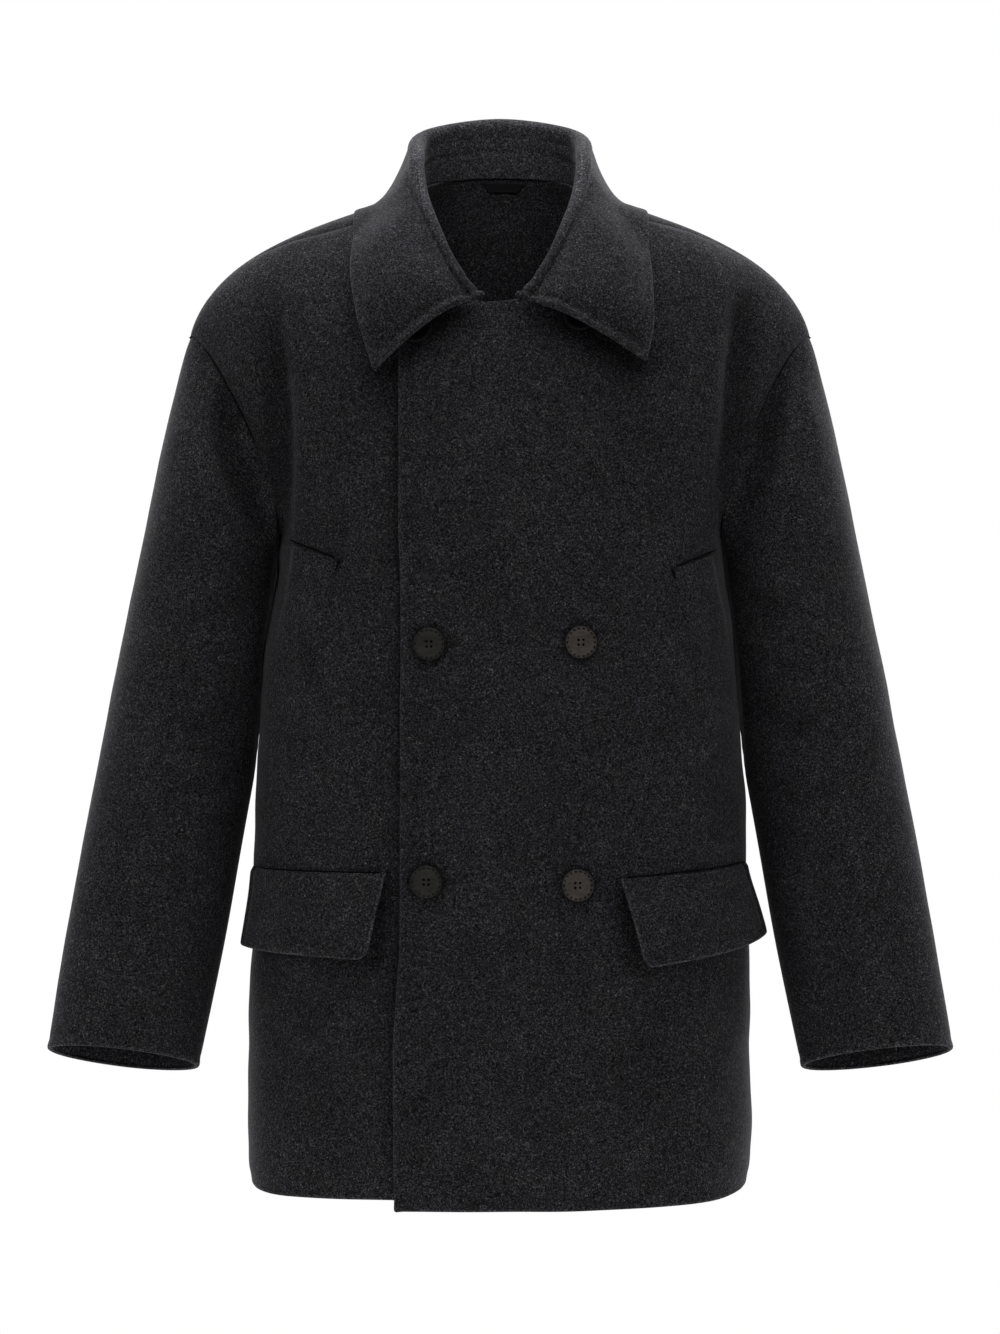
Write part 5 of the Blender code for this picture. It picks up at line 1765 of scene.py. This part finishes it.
def make_stage(settings):
    """Pale floor, white surround, soft lights and the camera."""
    bm = bmesh.new()
    bmesh.ops.create_circle(bm, cap_ends=True, segments=96, radius=FLOOR_RADIUS,
                            matrix=Matrix.Translation((0.0, 0.0, FLOOR_Z)))
    floor = object_from(bm, "floor")
    floor.data.materials.append(floor_material())
    scene = bpy.context.scene
    scene.world = white_surround(SURROUND * settings.light)
    for name, azimuth, elevation, size, power in LIGHTS:
        azimuth, elevation = math.radians(azimuth), math.radians(elevation)
        away = Vector((math.sin(azimuth) * math.cos(elevation), -math.cos(azimuth) * math.cos(elevation),
                       math.sin(elevation)))
        add_light(name, "AREA", power * settings.light, Vector(MIDDLE) + LIGHT_DISTANCE * away, MIDDLE,
                  shape="SQUARE", size=size)
    place, aim, cone, power = NECK_LIGHT
    add_light("neck_light", "SPOT", power * settings.light, place, aim, spot_size=math.radians(cone),
              spot_blend=0.8, shadow_soft_size=0.05)
    camera = in_scene("camera", bpy.data.cameras.new("camera"))
    camera.data.lens = CAMERA_LENS
    camera.data.sensor_width = CAMERA_SENSOR
    camera.location = CAMERA_PLACE
    camera.rotation_euler = (0.5 * math.pi, 0.0, 0.0)
    scene.camera = camera
    scene.view_settings.view_transform = "Standard"


# ---- add-on ------------------------------------------------------------------------------------
class JacketSettings(bpy.types.PropertyGroup):
    """Sizes, colours and light that a user would change."""

    wool: bpy.props.FloatVectorProperty(
        name="Wool", description="Ground colour of the melton", subtype="COLOR", min=0.0, max=1.0,
        default=(0.0152, 0.0147, 0.0163))
    fleck: bpy.props.FloatProperty(
        name="Fleck", description="How strongly light and dark fibres differ", min=0.0, max=12.0, default=6.7)
    cloth: bpy.props.FloatProperty(
        name="Cloth", description="Thickness of one layer", unit="LENGTH", default=CLOTH)
    facing: bpy.props.FloatProperty(
        name="Facing", description="Thickness of faced edges", unit="LENGTH", default=0.0040)
    leaf: bpy.props.FloatProperty(
        name="Collar edge", description="Thickness of the collar's edge", unit="LENGTH", default=0.0046)
    folds: bpy.props.FloatProperty(
        name="Folds", description="Strength of the creases", subtype="FACTOR", min=0.0, max=1.5, default=1.0)
    seam: bpy.props.FloatProperty(
        name="Seam depth", description="Depth of the sewn grooves", unit="LENGTH", default=0.0007)
    roll: bpy.props.FloatProperty(
        name="Edge roll", description="Height of the thick turned edges", unit="LENGTH", default=0.0009)
    stitch: bpy.props.FloatProperty(
        name="Stitch spacing", description="Between buttonhole stitches", unit="LENGTH", default=0.0007)
    horn_dark: bpy.props.FloatVectorProperty(
        name="Dark horn", description="Buttons that the buttonholes take", subtype="COLOR", min=0.0, max=1.0,
        default=(0.0200, 0.0195, 0.0170))
    horn_light: bpy.props.FloatVectorProperty(
        name="Light horn", description="Buttons of the other column", subtype="COLOR", min=0.0, max=1.0,
        default=(0.0480, 0.0405, 0.0365))
    light: bpy.props.FloatProperty(
        name="Light", description="Power of all lights", min=0.0, max=4.0, default=1.0)


class JACKET_OT_body(bpy.types.Operator):
    """Cut and sew the two fronts and the back"""

    bl_idname = "jacket.body"
    bl_label = "Fronts and back"

    def execute(self, context):
        make_body(context.scene.jacket)
        return {"FINISHED"}


class JACKET_OT_sleeves(bpy.types.Operator):
    """Make both sleeves"""

    bl_idname = "jacket.sleeves"
    bl_label = "Sleeves"

    def execute(self, context):
        make_sleeves(context.scene.jacket)
        return {"FINISHED"}


class JACKET_OT_collar(bpy.types.Operator):
    """Make the collar's stand and fall"""

    bl_idname = "jacket.collar"
    bl_label = "Collar"

    def execute(self, context):
        make_stand(context.scene.jacket)
        make_fall(context.scene.jacket)
        return {"FINISHED"}


class JACKET_OT_pockets(bpy.types.Operator):
    """Make the pocket flaps and the welts, with painted shadow lines along their tops"""

    bl_idname = "jacket.pockets"
    bl_label = "Pockets"

    def execute(self, context):
        make_pockets(context.scene.jacket)
        make_mouth_shadows(context.scene.jacket)
        return {"FINISHED"}


class JACKET_OT_tab(bpy.types.Operator):
    """Make the blank tab inside the neck"""

    bl_idname = "jacket.tab"
    bl_label = "Neck tab"

    def execute(self, context):
        make_tab()
        return {"FINISHED"}


class JACKET_OT_buttons(bpy.types.Operator):
    """Turn the six buttons and sew them on"""

    bl_idname = "jacket.buttons"
    bl_label = "Buttons"

    def execute(self, context):
        make_buttons(context.scene.jacket)
        return {"FINISHED"}


class JACKET_OT_stitching(bpy.types.Operator):
    """Work the buttonholes and the bar tacks"""

    bl_idname = "jacket.stitching"
    bl_label = "Buttonholes and tacks"

    def execute(self, context):
        make_stitching(context.scene.jacket)
        return {"FINISHED"}


class JACKET_OT_stage(bpy.types.Operator):
    """Set the floor, the lights and the camera"""

    bl_idname = "jacket.stage"
    bl_label = "Stage"

    def execute(self, context):
        make_stage(context.scene.jacket)
        return {"FINISHED"}


class JACKET_PT_panel(bpy.types.Panel):
    """The jacket's pieces and settings"""

    bl_label = "Jacket"
    bl_idname = "JACKET_PT_panel"
    bl_space_type = "VIEW_3D"
    bl_region_type = "UI"
    bl_category = "Jacket"

    def draw(self, context):
        settings = context.scene.jacket
        for name in JacketSettings.__annotations__:
            self.layout.prop(settings, name)
        for operator in OPERATORS:
            self.layout.operator(operator.bl_idname)


OPERATORS = (JACKET_OT_body, JACKET_OT_sleeves, JACKET_OT_collar, JACKET_OT_pockets, JACKET_OT_tab,
             JACKET_OT_buttons, JACKET_OT_stitching, JACKET_OT_stage)


def register():
    """Add the classes and the scene's settings."""
    for made in (JacketSettings, *OPERATORS, JACKET_PT_panel):
        bpy.utils.register_class(made)
    bpy.types.Scene.jacket = bpy.props.PointerProperty(type=JacketSettings)


def unregister():
    """Take them away again."""
    del bpy.types.Scene.jacket
    for made in (JACKET_PT_panel, *reversed(OPERATORS), JacketSettings):
        bpy.utils.unregister_class(made)


def main():
    """Build every piece in order."""
    register()
    for operator in OPERATORS:
        family, name = operator.bl_idname.split(".")
        getattr(getattr(bpy.ops, family), name)()
    bpy.context.view_layer.update()


if __name__ == "__main__":
    main()
